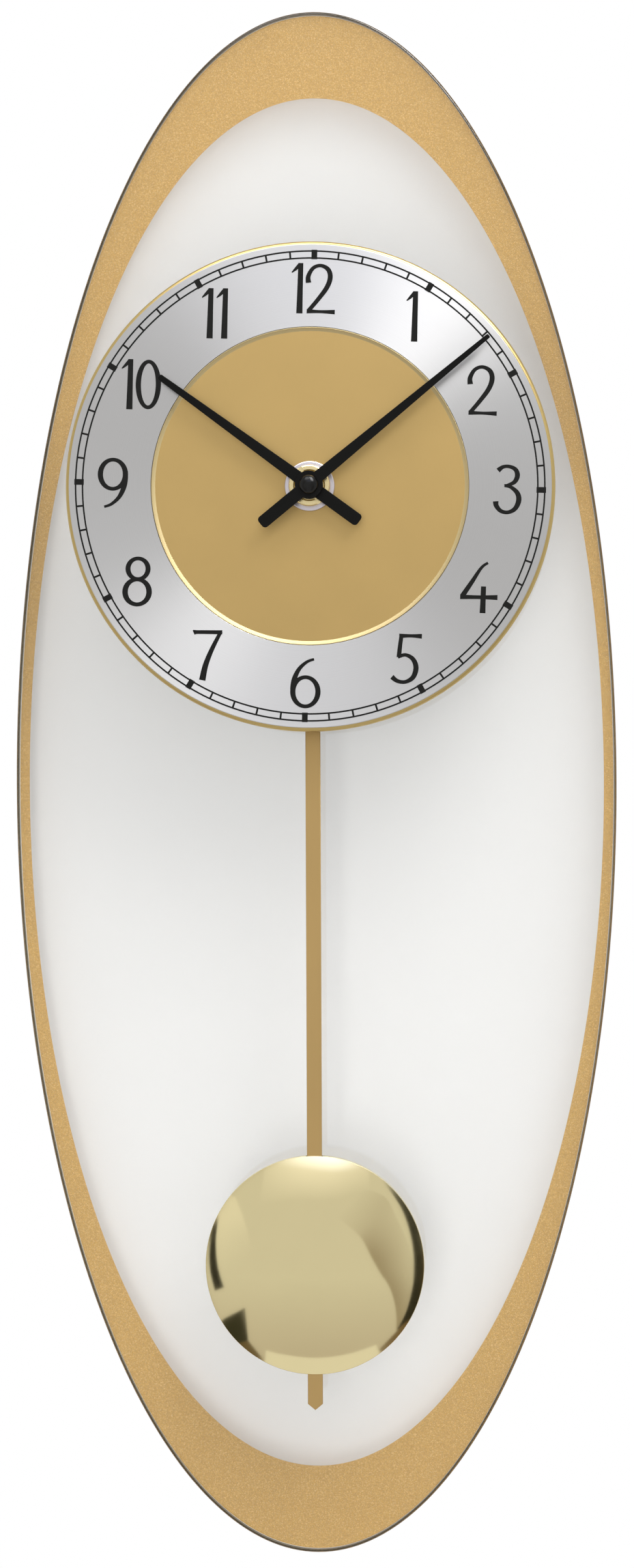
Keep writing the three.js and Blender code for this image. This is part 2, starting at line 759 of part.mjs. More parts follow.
function caseParts() {
  const outer = roundedRectangle(-caseHalfWidth, caseBottom, caseHalfWidth, caseTop, caseCorner);
  const inner = roundedRectangle(
    -caseHalfWidth + caseWall, caseBottom + caseWall,
    caseHalfWidth - caseWall, caseTop - caseWall, caseCorner - caseWall);
  return gather(
    named('movement_case', frontShell(outer, inner), blackPlastic),
    named('movement_cover', backShell(outer, inner), blackPlastic),
    named('threaded_bush', bush(), brass),
  );
}

// The front shell holds the bush, the motion wheel's stud and the circuit board, and the lever
// of the pendulum comes out of a slot in its lower wall
function frontShell(outer, inner) {
  const seats = [
    ...Object.values(arbors).map(({ centre, frontSeat }) => [centre, arborRadius, frontSeat]),
    [settingArbor, settingShaftRadius, settingSeat],
  ];
  const slotHalf = rodWidth / 2 + ribWidth + roomInside
    + Math.tan(radians(swing)) * (pivotHeight - caseBottom + rodWidth);
  const slot = rectangle(-slotHalf, caseBottom - cutPast, slotHalf, caseBottom + 2 * caseWall);
  const hollow = built([slab(outer, seam, movementFront)], [
    slab(inner, seam - cutPast, innerFront),
    slab(circle(bushRadius, 24), innerFront - cutPast, movementFront + cutPast),
    slab(slot, seam - cutPast, rodFront + pegOverhang + roomInside),
  ]);
  return built(
    [
      hollow,
      ...seats.map(([centre, radius, seat]) => post(centre, radius, seat, innerFront)),
      slab(circle(motionStudRadius, 12, motionArbor), motionLayer - fitGap, innerFront),
      ...boardPosts.map((place) => slab(circle(boardPostRadius, 12, place), boardFront, innerFront)),
    ],
    seats.map(([centre, radius, seat]) => (
      bearingHole(centre, radius, seat - cutPast, seat + pivotLength + fitGap))),
  );
}

// The back shell holds the battery bay, open to the wall, and the motor
function backShell(outer, inner) {
  const seats = [
    ...Object.values(arbors).map(({ centre, backSeat }) => [centre, backSeat]),
    [shaft, secondsLayer - fitGap],
  ];
  const bay = rectangle(-bayHalfLength - bayWall, bayBottom, bayHalfLength + bayWall, bayTop);
  const bayInside = rectangle(
    -bayHalfLength, bayBottom + bayWall, bayHalfLength, bayTop - bayWall);
  const hollow = built([slab(outer, movementBack, seam)], [slab(inner, innerBack, seam + cutPast)]);
  return built(
    [
      hollow,
      slab(bay, movementBack, bayFront),
      ...seats.map(([centre, seat]) => post(centre, arborRadius, innerBack, seat)),
      slab(circle(boardPostRadius, 12, statorPost), innerBack, statorBack),
    ],
    [
      slab(bayInside, movementBack - cutPast, bayFront - bayWall),
      ...seats.map(([centre, seat]) => (
        bearingHole(centre, arborRadius, seat - pivotLength - fitGap, seat + cutPast))),
      bearingHole(settingArbor, settingShaftRadius, movementBack - cutPast, innerBack + cutPast),
    ],
  );
}

// The bush is fixed in the case front and carries the bracket and the whole dial
function bush() {
  const bore = hourPipeRadius + runningGap;
  const flangeBackPlane = innerFront - bushFlangeThickness;
  return turned([
    [bore, flangeBackPlane],
    [bushFlangeRadius, flangeBackPlane],
    [bushFlangeRadius, innerFront],
    [bushRadius - runningGap, innerFront],
    [bushRadius - runningGap, bushFront],
    [bore, bushFront],
    [bore, flangeBackPlane],
  ], 24);
}

// Electrics: a board beside the wheels, the motor's coil and stator above them, and the coil
// that keeps the pendulum going
function electricParts() {
  return gather(
    batteryParts(),
    named('circuit_board', slab(
      rectangle(boardLeft, bayTop + fitGap, boardRight, caseTop - caseCorner),
      boardBack, boardFront), boardGreen),
    named('quartz_crystal', slabUp(
      circle(crystalRadius, 12, at(boardMiddle, boardBack - crystalRadius)), 0, crystalLength), zincSteel),
    named('motor_coil', motorCoil(), copper),
    named('motor_stator', stator(), zincSteel),
    named('drive_coil', slab(circle(driveCoilRadius, 24), innerBack, driveCoilFront,
      [circle(driveCoilBore, 12)]), copper, at(0, driveHeight)),
  );
}

function batteryParts() {
  const nubBack = batteryLength - batteryNubLength;
  const battery = turned([
    [0, 0],
    [batteryRadius, 0],
    [batteryRadius, nubBack],
    [batteryNubRadius, nubBack],
    [batteryNubRadius, batteryLength],
    [0, batteryLength],
  ], 24);
  battery.rotateY(Math.PI / 2);
  battery.translate(bayHalfLength - contactThickness - runningGap / 2 - batteryLength, 0, batteryPlane);
  const half = contactHeight / 2;
  const plate = slab(
    rectangle(bayHalfLength - contactThickness, -half, bayHalfLength, half),
    batteryPlane - half, batteryPlane + half);
  const leaf = slab([
    at(0, -half),
    at(contactThickness, -half),
    at(leftContact, 0),
    at(contactThickness, half),
    at(0, half),
    at(contactBow, 0),
  ], batteryPlane - half, batteryPlane + half);
  leaf.translate(-bayHalfLength, 0, 0);
  const place = at(0, batteryHeight);
  return gather(
    named('battery', battery, batteryCoat, place),
    named('battery_contact_plus', plate, zincSteel, place),
    named('battery_contact_minus', leaf, zincSteel, place),
  );
}

function motorCoil() {
  const round = (radius, left, right) => (
    slabAcross(circle(radius, 16, at(coilHeight, coilPlane)), left, right));
  const half = statorArm / 2 + fitGap;
  const core = rectangle(
    coilHeight - half, statorBack - runningGap, coilHeight + half, statorFront + runningGap);
  return built(
    [
      round(motorWindingRadius, coilLeft, coilRight),
      round(motorCoilRadius, coilLeft, coilLeft + motorCoilCheek),
      round(motorCoilRadius, coilRight - motorCoilCheek, coilRight),
    ],
    [slabAcross(core, coilLeft - cutPast, coilRight + cutPast)],
  );
}

function stator() {
  const flat = (outline) => slab(outline, statorBack, statorFront);
  const lower = rotorArbor.y - statorArm;
  const upper = coilHeight + statorArm / 2;
  return built(
    [
      flat(circle(rotorRadius + roomInside + statorArm, 20, rotorArbor)),
      flat(rectangle(rotorArbor.x, upper - statorArm, statorRight, upper)),
      flat(rectangle(rotorArbor.x, lower - statorArm / 2, statorRight, lower + statorArm / 2)),
      flat(rectangle(coilRight + fitGap, lower - statorArm / 2, statorRight, upper)),
    ],
    [slab(
      circle(rotorRadius + roomInside, 20, rotorArbor), statorBack - cutPast, statorFront + cutPast)],
  );
}

// Digits: each is a few strokes drawn one unit high, with a width at each end
const stroke = (path, from, to = from, closed = false) => ({ path, from, to, closed });

const digitStrokes = {
  0: [stroke(arc(0.245, 0.5, 0.2, 0.455, 0, 360, 16), 0.1, 0.1, true)],
  1: [
    stroke([at(0.135, 1), at(0.165, 0)], 0.09, 0.12),
    stroke([at(0.15, 0.985), at(0, 0.87)], 0.05, 0.04),
  ],
  2: [
    stroke([...arc(0.27, 0.735, 0.215, 0.22, 205, -30, 8), at(0.06, 0.06)], 0.1),
    stroke([at(0.01, 0.045), at(0.59, 0.035)], 0.09, 0.06),
  ],
  3: [
    stroke([...arc(0.26, 0.775, 0.2, 0.18, 158, -50, 6), at(0.2, 0.575)], 0.09),
    stroke([at(0.2, 0.565), ...arc(0.27, 0.29, 0.235, 0.245, 75, -150, 8)], 0.09),
  ],
  4: [
    stroke([at(0.53, 0.985), at(0.05, 0.32)], 0.06, 0.1),
    stroke([at(0.01, 0.315), at(0.74, 0.315)], 0.09),
    stroke([at(0.48, 0.54), at(0.46, 0)], 0.1, 0.11),
  ],
  5: [
    stroke([at(0.17, 0.96), at(0.6, 0.96)], 0.08, 0.06),
    stroke([at(0.215, 0.96), at(0.17, 0.55)], 0.08, 0.09),
    stroke(arc(0.26, 0.315, 0.255, 0.27, 118, -140, 8), 0.09),
  ],
  6: [
    stroke(arc(0.6, 0.34, 0.56, 0.64, 104, 174, 4), 0.05, 0.1),
    stroke(arc(0.3, 0.335, 0.25, 0.29, 0, 360, 12), 0.1, 0.1, true),
  ],
  7: [
    stroke([at(0.01, 0.96), at(0.57, 0.96)], 0.07),
    stroke([at(0.53, 0.97), at(0.18, 0)], 0.08, 0.12),
  ],
  8: [
    stroke(arc(0.3, 0.75, 0.2, 0.205, 0, 360, 10), 0.09, 0.09, true),
    stroke(arc(0.29, 0.295, 0.24, 0.25, 0, 360, 12), 0.1, 0.1, true),
  ],
};
const digitWidths = [0.49, 0.22, 0.59, 0.52, 0.75, 0.58, 0.6, 0.57, 0.57, 0.6];
const digitSpace = 0.07;

// A nine is a six upside down
digitStrokes[9] = digitStrokes[6].map(({ path, ...rest }) => ({
  ...rest,
  path: path.map((point) => at(digitWidths[6] - point.x, 1 - point.y)),
}));

// One stroke as a flat solid, after a transform of its points
function strokeSlab({ path, from, to, closed }, transform, back, front) {
  const points = closed ? path.slice(0, -1) : path;
  const count = points.length;
  const near = (index) => (
    closed ? points[(index + count) % count] : points[THREE.MathUtils.clamp(index, 0, count - 1)]);
  const side = (sign) => points.map((point, index) => {
    const along = near(index + 1).clone().sub(near(index - 1)).normalize();
    const half = THREE.MathUtils.lerp(from, to, index / (count - 1)) / 2;
    return transform(at(point.x - sign * along.y * half, point.y + sign * along.x * half));
  });
  if (closed) {
    return slab(side(-1), back, front, [side(1)]);
  }
  return slab([...side(1), ...side(-1).reverse()], back, front);
}

function numeral(hour, back, front) {
  const digits = [...String(hour)];
  const width = digits.reduce((sum, digit) => sum + digitWidths[digit], digitSpace * (digits.length - 1));
  const centre = polar(numeralCircle, radians(90 - 30 * hour));
  let left = -width / 2;
  return digits.flatMap((digit) => {
    const start = left;
    left += digitWidths[digit] + digitSpace;
    const transform = (point) => at(
      centre.x + (point.x + start) * numeralHeight,
      centre.y + (point.y - 0.5) * numeralHeight,
    );
    return digitStrokes[digit].map((one) => strokeSlab(one, transform, back, front));
  });
}

// The numerals, and the minute track with a block at each hour, let a little into the ring
function numeralRing() {
  const back = numeralRingFront - numeralRelief / 2;
  const front = numeralRingFront + numeralRelief;
  const line = (radius) => slab(
    circle(radius + trackLine / 2, 60), back, front, [circle(radius - trackLine / 2, 60)]);
  const relief = [line(trackInnerRadius), line(trackOuterRadius)];
  for (let minute = 0; minute < 60; minute += 1) {
    const half = (minute % 5 === 0 ? hourMarkWidth : minuteMarkWidth) / 2;
    const mark = slab(rectangle(-half, trackInnerRadius, half, trackOuterRadius), back, front);
    relief.push(mark.rotateZ(-radians(6 * minute)));
  }
  for (let hour = 1; hour <= 12; hour += 1) {
    relief.push(...numeral(hour, back, front));
  }
  const plain = slab(circle(numeralRingRadius, 60), numeralRingBack, numeralRingFront, [
    circle(centreDiscRadius + runningGap, 60)]);
  return built([plain, ...relief]);
}

// The base, whose edge is rounded off in front
function dialBase(bore) {
  return turned([
    [bore, dialBack],
    [dialRadius, dialBack],
    [dialRadius, numeralRingBack - dialEdgeBevel],
    [dialRadius - bevelMiddle * dialEdgeBevel, numeralRingBack - bevelMiddle * dialEdgeBevel],
    [dialRadius - dialEdgeBevel, numeralRingBack],
    [bore, numeralRingBack],
    [bore, dialBack],
  ], 60);
}

// The gold disc in the middle of the numeral ring, which lies lower than the ring
function centreDisc(bore) {
  return turned([
    [bore, numeralRingBack],
    [centreDiscRadius, numeralRingBack],
    [centreDiscRadius, numeralRingFront],
    [centreDiscRadius - centreLipWidth, centreDiscFront],
    [bore, centreDiscFront],
    [bore, numeralRingBack],
  ], 60);
}

function dialParts() {
  const bore = bushRadius + fitGap;
  const slot = (angle) => slab(
    rectangle(bushRadius - cutPast, -ringNutSlot / 2, ringNutRadius + cutPast, ringNutSlot / 2),
    ringNutFront - ringNutThickness / 2, ringNutFront + cutPast).rotateZ(radians(angle));
  const nut = built(
    [slab(circle(ringNutRadius, 24), ringNutBack, ringNutFront, [circle(bushRadius, 24)])],
    [slot(ringNutAngle), slot(ringNutAngle + 180)],
  );
  const washer = (back, front) => slab(circle(washerRadius, 24), back, front, [circle(bore)]);
  const dial = gather(
    named('rubber_washer', washer(bracketFront, dialBack), blackRubber),
    named('dial_base', dialBase(bore), goldLacquer),
    named('numeral_ring', numeralRing(), brushedAluminium),
    named('centre_disc', centreDisc(bore), goldLacquer),
    named('dial_washer', washer(centreDiscFront, ringNutBack), zincSteel),
    named('ring_nut', nut, brass),
  );
  dial.rotation.z = -radians(dialTurn);
  return dial;
}

// Hands: a long tapered blade, a round hub and a short tail, drawn pointing up
function handOutline(length, tipWidth) {
  const chamfer = tipWidth / 4;
  const side = (sign) => [
    at(sign * chamfer, length),
    at(sign * tipWidth / 2, length - chamfer),
    at(sign * handRootWidth / 2, hubRadius),
    ...arc(0, 0, sign * hubRadius, hubRadius, hubShoulder, -hubShoulder, 5),
    at(sign * handTailWidth / 2, -hubRadius),
    at(sign * handTailWidth / 2, -handTailLength + handTailWidth / 4),
    at(sign * handTailWidth / 4, -handTailLength),
  ];
  return [...side(1), ...side(-1).reverse()];
}

function handParts() {
  const bossHeight = fitGap;
  const hourHand = built(
    [
      slab(handOutline(hourHandLength, hourHandTipWidth), hourHandBack, hourHandFront),
      slab(circle(hubRadius - fitGap, 20), hourHandBack, hourHandFront + bossHeight),
    ],
    [slab(circle(hourPipeRadius + runningGap, 20), hourHandBack - cutPast, minuteHandBack)],
  );
  const minuteHand = built(
    [
      slab(handOutline(minuteHandLength, minuteHandTipWidth), minuteHandBack, minuteHandFront),
      slab(circle(hubRadius - fitGap, 20), minuteHandBack - bossHeight, minuteHandFront),
    ],
    [slab(circle(minuteShaftRadius + runningGap), minuteHandBack - cutPast, minuteHandFront + cutPast)],
  );
  const bore = minuteShaftRadius + runningGap;
  const capFront = minuteHandFront + capHeight;
  const cap = turned([
    [bore, minuteHandFront],
    [capRadius, minuteHandFront],
    ...capProfile.map(([width, height]) => [width * capRadius, minuteHandFront + height * capHeight]),
    [0, capFront - capWall],
    [bore, capFront - capWall],
    [bore, minuteHandFront],
  ], 20);
  const hour = named('hour_hand', hourHand, blackLacquer);
  hour.rotation.z = -radians(hourHandAngle);
  const minute = named('minute_hand', minuteHand, blackLacquer);
  minute.rotation.z = -radians(minuteHandAngle);
  return gather(hour, minute, named('hand_nut', cap, blackLacquer));
}

// Pendulum: the lever swings on its pin and carries the magnet and, on a peg between two ribs,
// the rod
function pendulumParts() {
  const ribInside = rodWidth / 2 + runningGap;
  const ribOutside = ribInside + ribWidth;
  const headHalf = Math.max(ribOutside, leverWidth / 2);
  const flat = (outline) => slab(outline, leverBack, leverFront);
  const rib = (sign) => slab(
    [at(sign * ribInside, leverEnd), at(sign * ribOutside, leverEnd), at(sign * ribOutside, pegHeight),
      at(sign * ribInside, pegHeight)], leverFront - fitGap, rodFront);
  const lever = built(
    [
      flat(circle(leverEye, 20, at(0, pivotHeight))),
      flat(rectangle(-leverWidth / 2, pegHeight, leverWidth / 2, pivotHeight)),
      flat(circle(magnetRadius + roomInside, 20, at(0, driveHeight))),
      flat(rectangle(-headHalf, leverEnd, headHalf, pegHeight + rodEnd / 2)),
      slab(circle(pegRadius, 12, at(0, pegHeight)), leverFront - fitGap, rodFront + pegOverhang),
      rib(-1),
      rib(1),
    ],
    [slab(circle(pivotRadius + runningGap, 16, at(0, pivotHeight)),
      leverBack - cutPast, leverFront + cutPast)],
  );
  const shoulder = -rodTipDrop + rodTipHeight;
  const rod = slab([
    at(-rodWidth / 2, pegHeight + rodEnd / 2),
    at(-rodWidth / 2, shoulder),
    at(0, -rodTipDrop),
    at(rodWidth / 2, shoulder),
    at(rodWidth / 2, pegHeight + rodEnd / 2),
  ], rodBack, rodFront, [circle(pegRadius + runningGap, 12, at(0, pegHeight))]);
  return gather(
    named('pivot_pin', slab(circle(pivotRadius), innerBack, innerFront), zincSteel, at(0, pivotHeight)),
    named('pendulum_lever', lever, whitePlastic),
    named('lever_magnet', slab(circle(magnetRadius, 20), magnetBack, leverBack),
      zincSteel, at(0, driveHeight)),
    named('pendulum_rod', rod, goldLacquer),
    bobParts(),
  );
}

// The bob: a domed shell with a straight rim, closed by a back plate. The rod runs through a slot
// at each end of the rim, and a leaf spring on the back plate presses against it.
function bobParts() {
  const plateFront = rodBack - fitGap - clipThickness - clipBow;
  const plateBack = plateFront - bobBackThickness;
  const domeBack = plateFront + bobRim;
  const inside = bobRadius - bobShell;
  const dome = (radius, height, steps) => {
    const sphere = (radius ** 2 + height ** 2) / (2 * height);
    const reach = Math.asin(radius / sphere);
    return Array.from({ length: steps + 1 }, (_, step) => {
      const angle = reach * (1 - step / steps);
      return [sphere * Math.sin(angle), domeBack + height - sphere * (1 - Math.cos(angle))];
    });
  };
  const shell = turned([
    [inside, plateBack],
    [bobRadius, plateBack],
    ...dome(bobRadius, bobDomeHeight, 5),
    ...dome(inside, bobDomeHeight - bobShell, 3).reverse(),
    [inside, plateBack],
  ], 48);
  const slotHalf = rodWidth / 2 + fitGap;
  const slot = rectangle(-slotHalf, -bobRadius - cutPast, slotHalf, bobRadius + cutPast);
  const slots = slab(slot, rodBack - runningGap, rodFront + runningGap);
  const half = clipLength / 2;
  const clip = slabAcross([
    at(-half, plateFront),
    at(half, plateFront),
    at(half / 2, plateFront + clipThickness),
    at(half / 4, plateFront + clipBow + clipThickness),
    at(-half / 4, plateFront + clipBow + clipThickness),
    at(-half / 2, plateFront + clipThickness),
  ], -clipWidth / 2, clipWidth / 2);
  const place = at(0, -bobDrop);
  return gather(
    named('bob_shell', built([shell], [slots]), polishedBrass, place),
    named('bob_back', slab(circle(inside - runningGap, 48), plateBack, plateFront), brass, place),
    named('bob_clip', clip, zincSteel, place),
  );
}

const clock = gather(
  glassParts(),
  frameParts(),
  caseParts(),
  trainParts(),
  motionWorkParts(),
  electricParts(),
  dialParts(),
  handParts(),
  pendulumParts(),
);
clock.rotation.x = Math.PI / 2;
clock.position.z = -keyholeHeight;

export default gather(clock);
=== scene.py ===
"""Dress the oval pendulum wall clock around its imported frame.

The clock hangs on a wall at y = 0 and faces -Y. Pieces are drawn in millimetres in a flat frame, x
to the right, y up and z out of the wall, with the hand shaft on the z axis, and are then stood up
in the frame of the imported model.
"""

import logging
import math
from collections.abc import Callable, Sequence
from dataclasses import dataclass
from enum import Enum
from itertools import accumulate, repeat
from typing import Any, Union

import bmesh
import bpy
from mathutils import Matrix, Vector
from mathutils.geometry import tessellate_polygon


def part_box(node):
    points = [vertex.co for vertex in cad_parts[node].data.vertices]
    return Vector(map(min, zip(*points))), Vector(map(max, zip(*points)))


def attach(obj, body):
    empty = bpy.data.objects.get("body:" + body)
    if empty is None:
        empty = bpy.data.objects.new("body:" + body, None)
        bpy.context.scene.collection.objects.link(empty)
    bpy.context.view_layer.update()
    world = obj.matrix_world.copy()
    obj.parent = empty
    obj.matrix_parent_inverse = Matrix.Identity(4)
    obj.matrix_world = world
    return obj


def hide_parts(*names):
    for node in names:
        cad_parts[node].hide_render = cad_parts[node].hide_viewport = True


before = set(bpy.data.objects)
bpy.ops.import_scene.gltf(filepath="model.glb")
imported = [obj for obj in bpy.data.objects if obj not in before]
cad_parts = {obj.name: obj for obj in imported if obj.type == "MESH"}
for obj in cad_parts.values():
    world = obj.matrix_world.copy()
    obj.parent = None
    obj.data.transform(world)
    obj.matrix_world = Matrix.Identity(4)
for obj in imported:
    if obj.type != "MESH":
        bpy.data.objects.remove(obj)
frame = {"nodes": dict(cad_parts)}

log = logging.getLogger("clock")

Point = tuple[float, float]
Place = tuple[float, float, float]
Sides = tuple[float, float, float, float]
Colour = tuple[float, float, float]
Value = Union["Socket", float, Sequence[float]]

MM = 0.001
SHAFT_HEIGHT = -0.042
STAND_UP = Matrix.Translation((0.0, 0.0, SHAFT_HEIGHT)) @ Matrix.Rotation(math.pi / 2, 4, "X")


@dataclass(frozen=True)
class Box:
    """Where a CAD node lies in the flat frame, in millimetres."""

    left: float
    bottom: float
    right: float
    top: float
    back: float
    front: float

    @classmethod
    def of(cls, node: str) -> "Box":
        """Measure a CAD node.

        Args:
            node: Name of the node.

        Returns:
            Its box.
        """
        low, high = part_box(node)
        return cls(
            low.x / MM, (low.z - SHAFT_HEIGHT) / MM, high.x / MM, (high.z - SHAFT_HEIGHT) / MM,
            -high.y / MM, -low.y / MM)

    @property
    def sides(self) -> Sides:
        """Its left, bottom, right and top."""
        return self.left, self.bottom, self.right, self.top

    @property
    def centre(self) -> Point:
        """Its middle, seen from the front."""
        return (self.left + self.right) / 2, (self.bottom + self.top) / 2

    @property
    def half_width(self) -> float:
        """Half its width."""
        return (self.right - self.left) / 2

    @property
    def half_height(self) -> float:
        """Half its height."""
        return (self.top - self.bottom) / 2


# Shader graphs


class Socket:
    """An output of a shader node, on which Python's operators add further nodes."""

    def __init__(self, graph: "Graph", output: bpy.types.NodeSocket) -> None:
        """Wrap an output of one of the graph's nodes."""
        self.graph = graph
        self.output = output

    def _combine(self, operation: str, other: Value) -> "Socket":
        """Add the node for one operator.

        Args:
            operation: The operation, in the words of a Math node.
            other: The right operand.

        Returns:
            The result, a number, a colour or a vector as the operands are.
        """
        graph = self.graph
        kinds = [value.output.type if isinstance(value, Socket) else "" for value in (self, other)]
        if kinds[0] == "VALUE" and (kinds[1] == "VALUE" or isinstance(other, (int, float))):
            return graph.add("Math", {0: self, 1: other}, operation=operation)
        if "RGBA" in kinds:
            return graph.blend(1.0, self, other, operation)
        if isinstance(other, (int, float)):
            other = (other, other, other)
        return graph.add("VectorMath", {0: self, 1: other}, operation=operation)

    def __add__(self, other: Value) -> "Socket":
        """Add."""
        return self._combine("ADD", other)

    def __sub__(self, other: Value) -> "Socket":
        """Subtract."""
        return self._combine("SUBTRACT", other)

    def __mul__(self, other: Value) -> "Socket":
        """Multiply."""
        return self._combine("MULTIPLY", other)

    def __truediv__(self, other: Value) -> "Socket":
        """Divide."""
        return self._combine("DIVIDE", other)

    def __gt__(self, other: Value) -> "Socket":
        """Compare: 1 where this is greater, else 0."""
        return self._combine("GREATER_THAN", other)

    def __lt__(self, other: Value) -> "Socket":
        """Compare: 1 where this is less, else 0."""
        return self._combine("LESS_THAN", other)

    def maximum(self, other: Value) -> "Socket":
        """Take the greater of two numbers."""
        return self._combine("MAXIMUM", other)

    def mix(self, low: Value, high: Value) -> "Socket":
        """Blend from one colour, where this is 0, to another, where it is 1."""
        return self.graph.blend(self, low, high)


class Graph:
    """The node tree of one material or world."""

    def __init__(self, tree: bpy.types.NodeTree) -> None:
        """Empty a tree, to fill it."""
        self.tree = tree
        self.tree.nodes.clear()

    @staticmethod
    def colour(value: Value) -> Value:
        """Give a colour its alpha.

        Args:
            value: A plain number, three numbers, or a link, which stays as it is.

        Returns:
            The four numbers, or the link.
        """
        if isinstance(value, Socket):
            return value
        if isinstance(value, (int, float)):
            return (value, value, value, 1.0)
        return (*value[:3], 1.0)

    def add(
        self, kind: str, inputs: dict[str | int, Value] | None = None, output: str | int = 0,
        **settings: Any,
    ) -> Socket:
        """Add a node.

        Args:
            kind: Type of the node, without its leading ShaderNode.
            inputs: Values or links of its sockets, by name or number.
            output: Which output to return.
            settings: Its settings.

        Returns:
            The chosen output.
        """
        node = self.tree.nodes.new(f"ShaderNode{kind}")
        for name, value in settings.items():
            setattr(node, name, value)
        for name, value in (inputs or {}).items():
            if isinstance(value, Socket):
                self.tree.links.new(value.output, node.inputs[name])
            else:
                node.inputs[name].default_value = value
        return Socket(self, node.outputs[output] if node.outputs else None)

    def blend(self, share: Value, low: Value, high: Value, way: str = "MIX") -> Socket:
        """Blend two colours.

        Args:
            share: How much of the blend shows.
            low: The first colour.
            high: The second colour.
            way: How they are blended.

        Returns:
            The blended colour.
        """
        return self.add(
            "Mix", {0: share, 6: self.colour(low), 7: self.colour(high)}, 2, data_type="RGBA",
            blend_type=way)

    def mixed(self, share: Value, first: Socket, second: Socket) -> Socket:
        """Mix two shaders, of which the second has the share."""
        return self.add("MixShader", {0: share, 1: first, 2: second})

    def grey(self, shade: Socket) -> Socket:
        """Turn a number into a grey."""
        return self.add("CombineColor", {"Red": shade, "Green": shade, "Blue": shade})

    def ray(self, kind: str) -> Socket:
        """Tell whether the light that is traced is of a kind, such as Camera."""
        return self.add("LightPath", output=f"Is {kind} Ray")

    def place(self) -> Socket:
        """Give the place on the piece, in metres, in the piece's own axes."""
        return self.add("TexCoord", output="Object")

    def noise(self, scale: float, detail: float = 2.0, where: Socket | None = None) -> Socket:
        """Add a noise texture.

        Args:
            scale: Cells per metre.
            detail: How many finer layers it has.
            where: Where to sample it, or None for the place on the piece.

        Returns:
            The noise, from 0 to 1.
        """
        return self.add(
            "TexNoise", {"Vector": where or self.place(), "Scale": scale, "Detail": detail})

    def grain(self, scale: float) -> Socket:
        """Add one random number for each cell of a fine grain, with so many cells per metre."""
        colour = self.add("TexVoronoi", {"Vector": self.place(), "Scale": scale}, "Color")
        return self.add("SeparateColor", {"Color": colour}, "Red")

    def rings(self, pitch: float) -> Socket:
        """Add fine random rings round the piece's own z axis.

        Args:
            pitch: Mean width of a ring, in metres.

        Returns:
            The noise across the rings, from 0 to 1.
        """
        flat = self.place() * (1.0, 1.0, 0.0)
        radius = self.add("VectorMath", {0: flat}, "Value", operation="LENGTH")
        return self.add(
            "TexNoise", {"W": radius / pitch, "Scale": 1.0, "Detail": 3.0}, noise_dimensions="1D")

    def brushing(self, stretch: Sequence[float]) -> Socket:
        """Add noise drawn out into straight lines, with its cells per metre along each axis."""
        return self.noise(1.0, 3.0, self.place() * tuple(stretch))

    def bump(self, height: Socket, distance: float, strength: float) -> Socket:
        """Turn a height into a normal.

        Args:
            height: The height, from 0 to 1.
            distance: What a height of 1 is, in metres.
            strength: How much of it shows.

        Returns:
            The normal.
        """
        return self.add("Bump", {"Height": height, "Distance": distance, "Strength": strength})


def new_material(name: str) -> tuple[bpy.types.Material, Graph]:
    """Make an empty material.

    Args:
        name: Its name.

    Returns:
        The material and its graph.
    """
    material = bpy.data.materials.new(name)
    material.use_nodes = True
    return material, Graph(material.node_tree)


# Finishes


@dataclass(frozen=True)
class Finish:
    """What a piece's surface is made of: its colour, gloss and grain.

    The slot names its material slot, or is empty for its own name; no piece is given it here.
    """

    name: str
    colour: Colour
    roughness: float = 0.4
    metallic: float = 0.0
    gloss: float = 0.5
    slot: str = ""

    def paint(self, graph: Graph) -> dict[str, Value]:
        """Give the values and links of the main shader.

        Args:
            graph: The material's graph.

        Returns:
            The sockets of a Principled BSDF, by name.
        """
        return {"Base Color": graph.colour(self.colour), "Roughness": self.roughness}

    def coat(
        self, tint: Socket, roughness: Value, height: Socket, distance: float, strength: float
    ) -> dict[str, Value]:
        """Tint the colour and bump the surface.

        Args:
            tint: What the colour is multiplied by.
            roughness: How rough the surface is.
            height: Its height, from 0 to 1.
            distance: What a height of 1 is, in metres.
            strength: How much of the height shows.

        Returns:
            The sockets of a Principled BSDF, by name.
        """
        return {
            "Base Color": tint * self.colour, "Roughness": roughness,
            "Normal": tint.graph.bump(height, distance, strength),
        }

    def shader(self, graph: Graph) -> Socket:
        """Add the main shader."""
        sockets = {"Metallic": self.metallic, "Specular IOR Level": self.gloss, **self.paint(graph)}
        return graph.add("BsdfPrincipled", sockets)

    def material(self) -> bpy.types.Material:
        """Make the material, or find it if it is made already."""
        made = bpy.data.materials.get(f"{self.name}_finish")
        if made is None:
            made, graph = new_material(f"{self.name}_finish")
            made.diffuse_color = (*self.colour, 1.0)
            graph.add("OutputMaterial", {"Surface": self.shader(graph)})
        return made


@dataclass(frozen=True)
class ClearGlass(Finish):
    """Float glass, which lets light through to what is behind it."""

    def shader(self, graph: Graph) -> Socket:
        """Add glass that throws no shadow of its own."""
        glass = graph.add("BsdfPrincipled", {
            "Base Color": graph.colour(self.colour), "Roughness": self.roughness,
            "IOR": 1.5, "Transmission Weight": 1.0})
        clear = graph.add("BsdfTransparent", {"Color": (0.97, 0.985, 0.975, 1.0)})
        return graph.mixed(graph.ray("Shadow"), glass, clear)


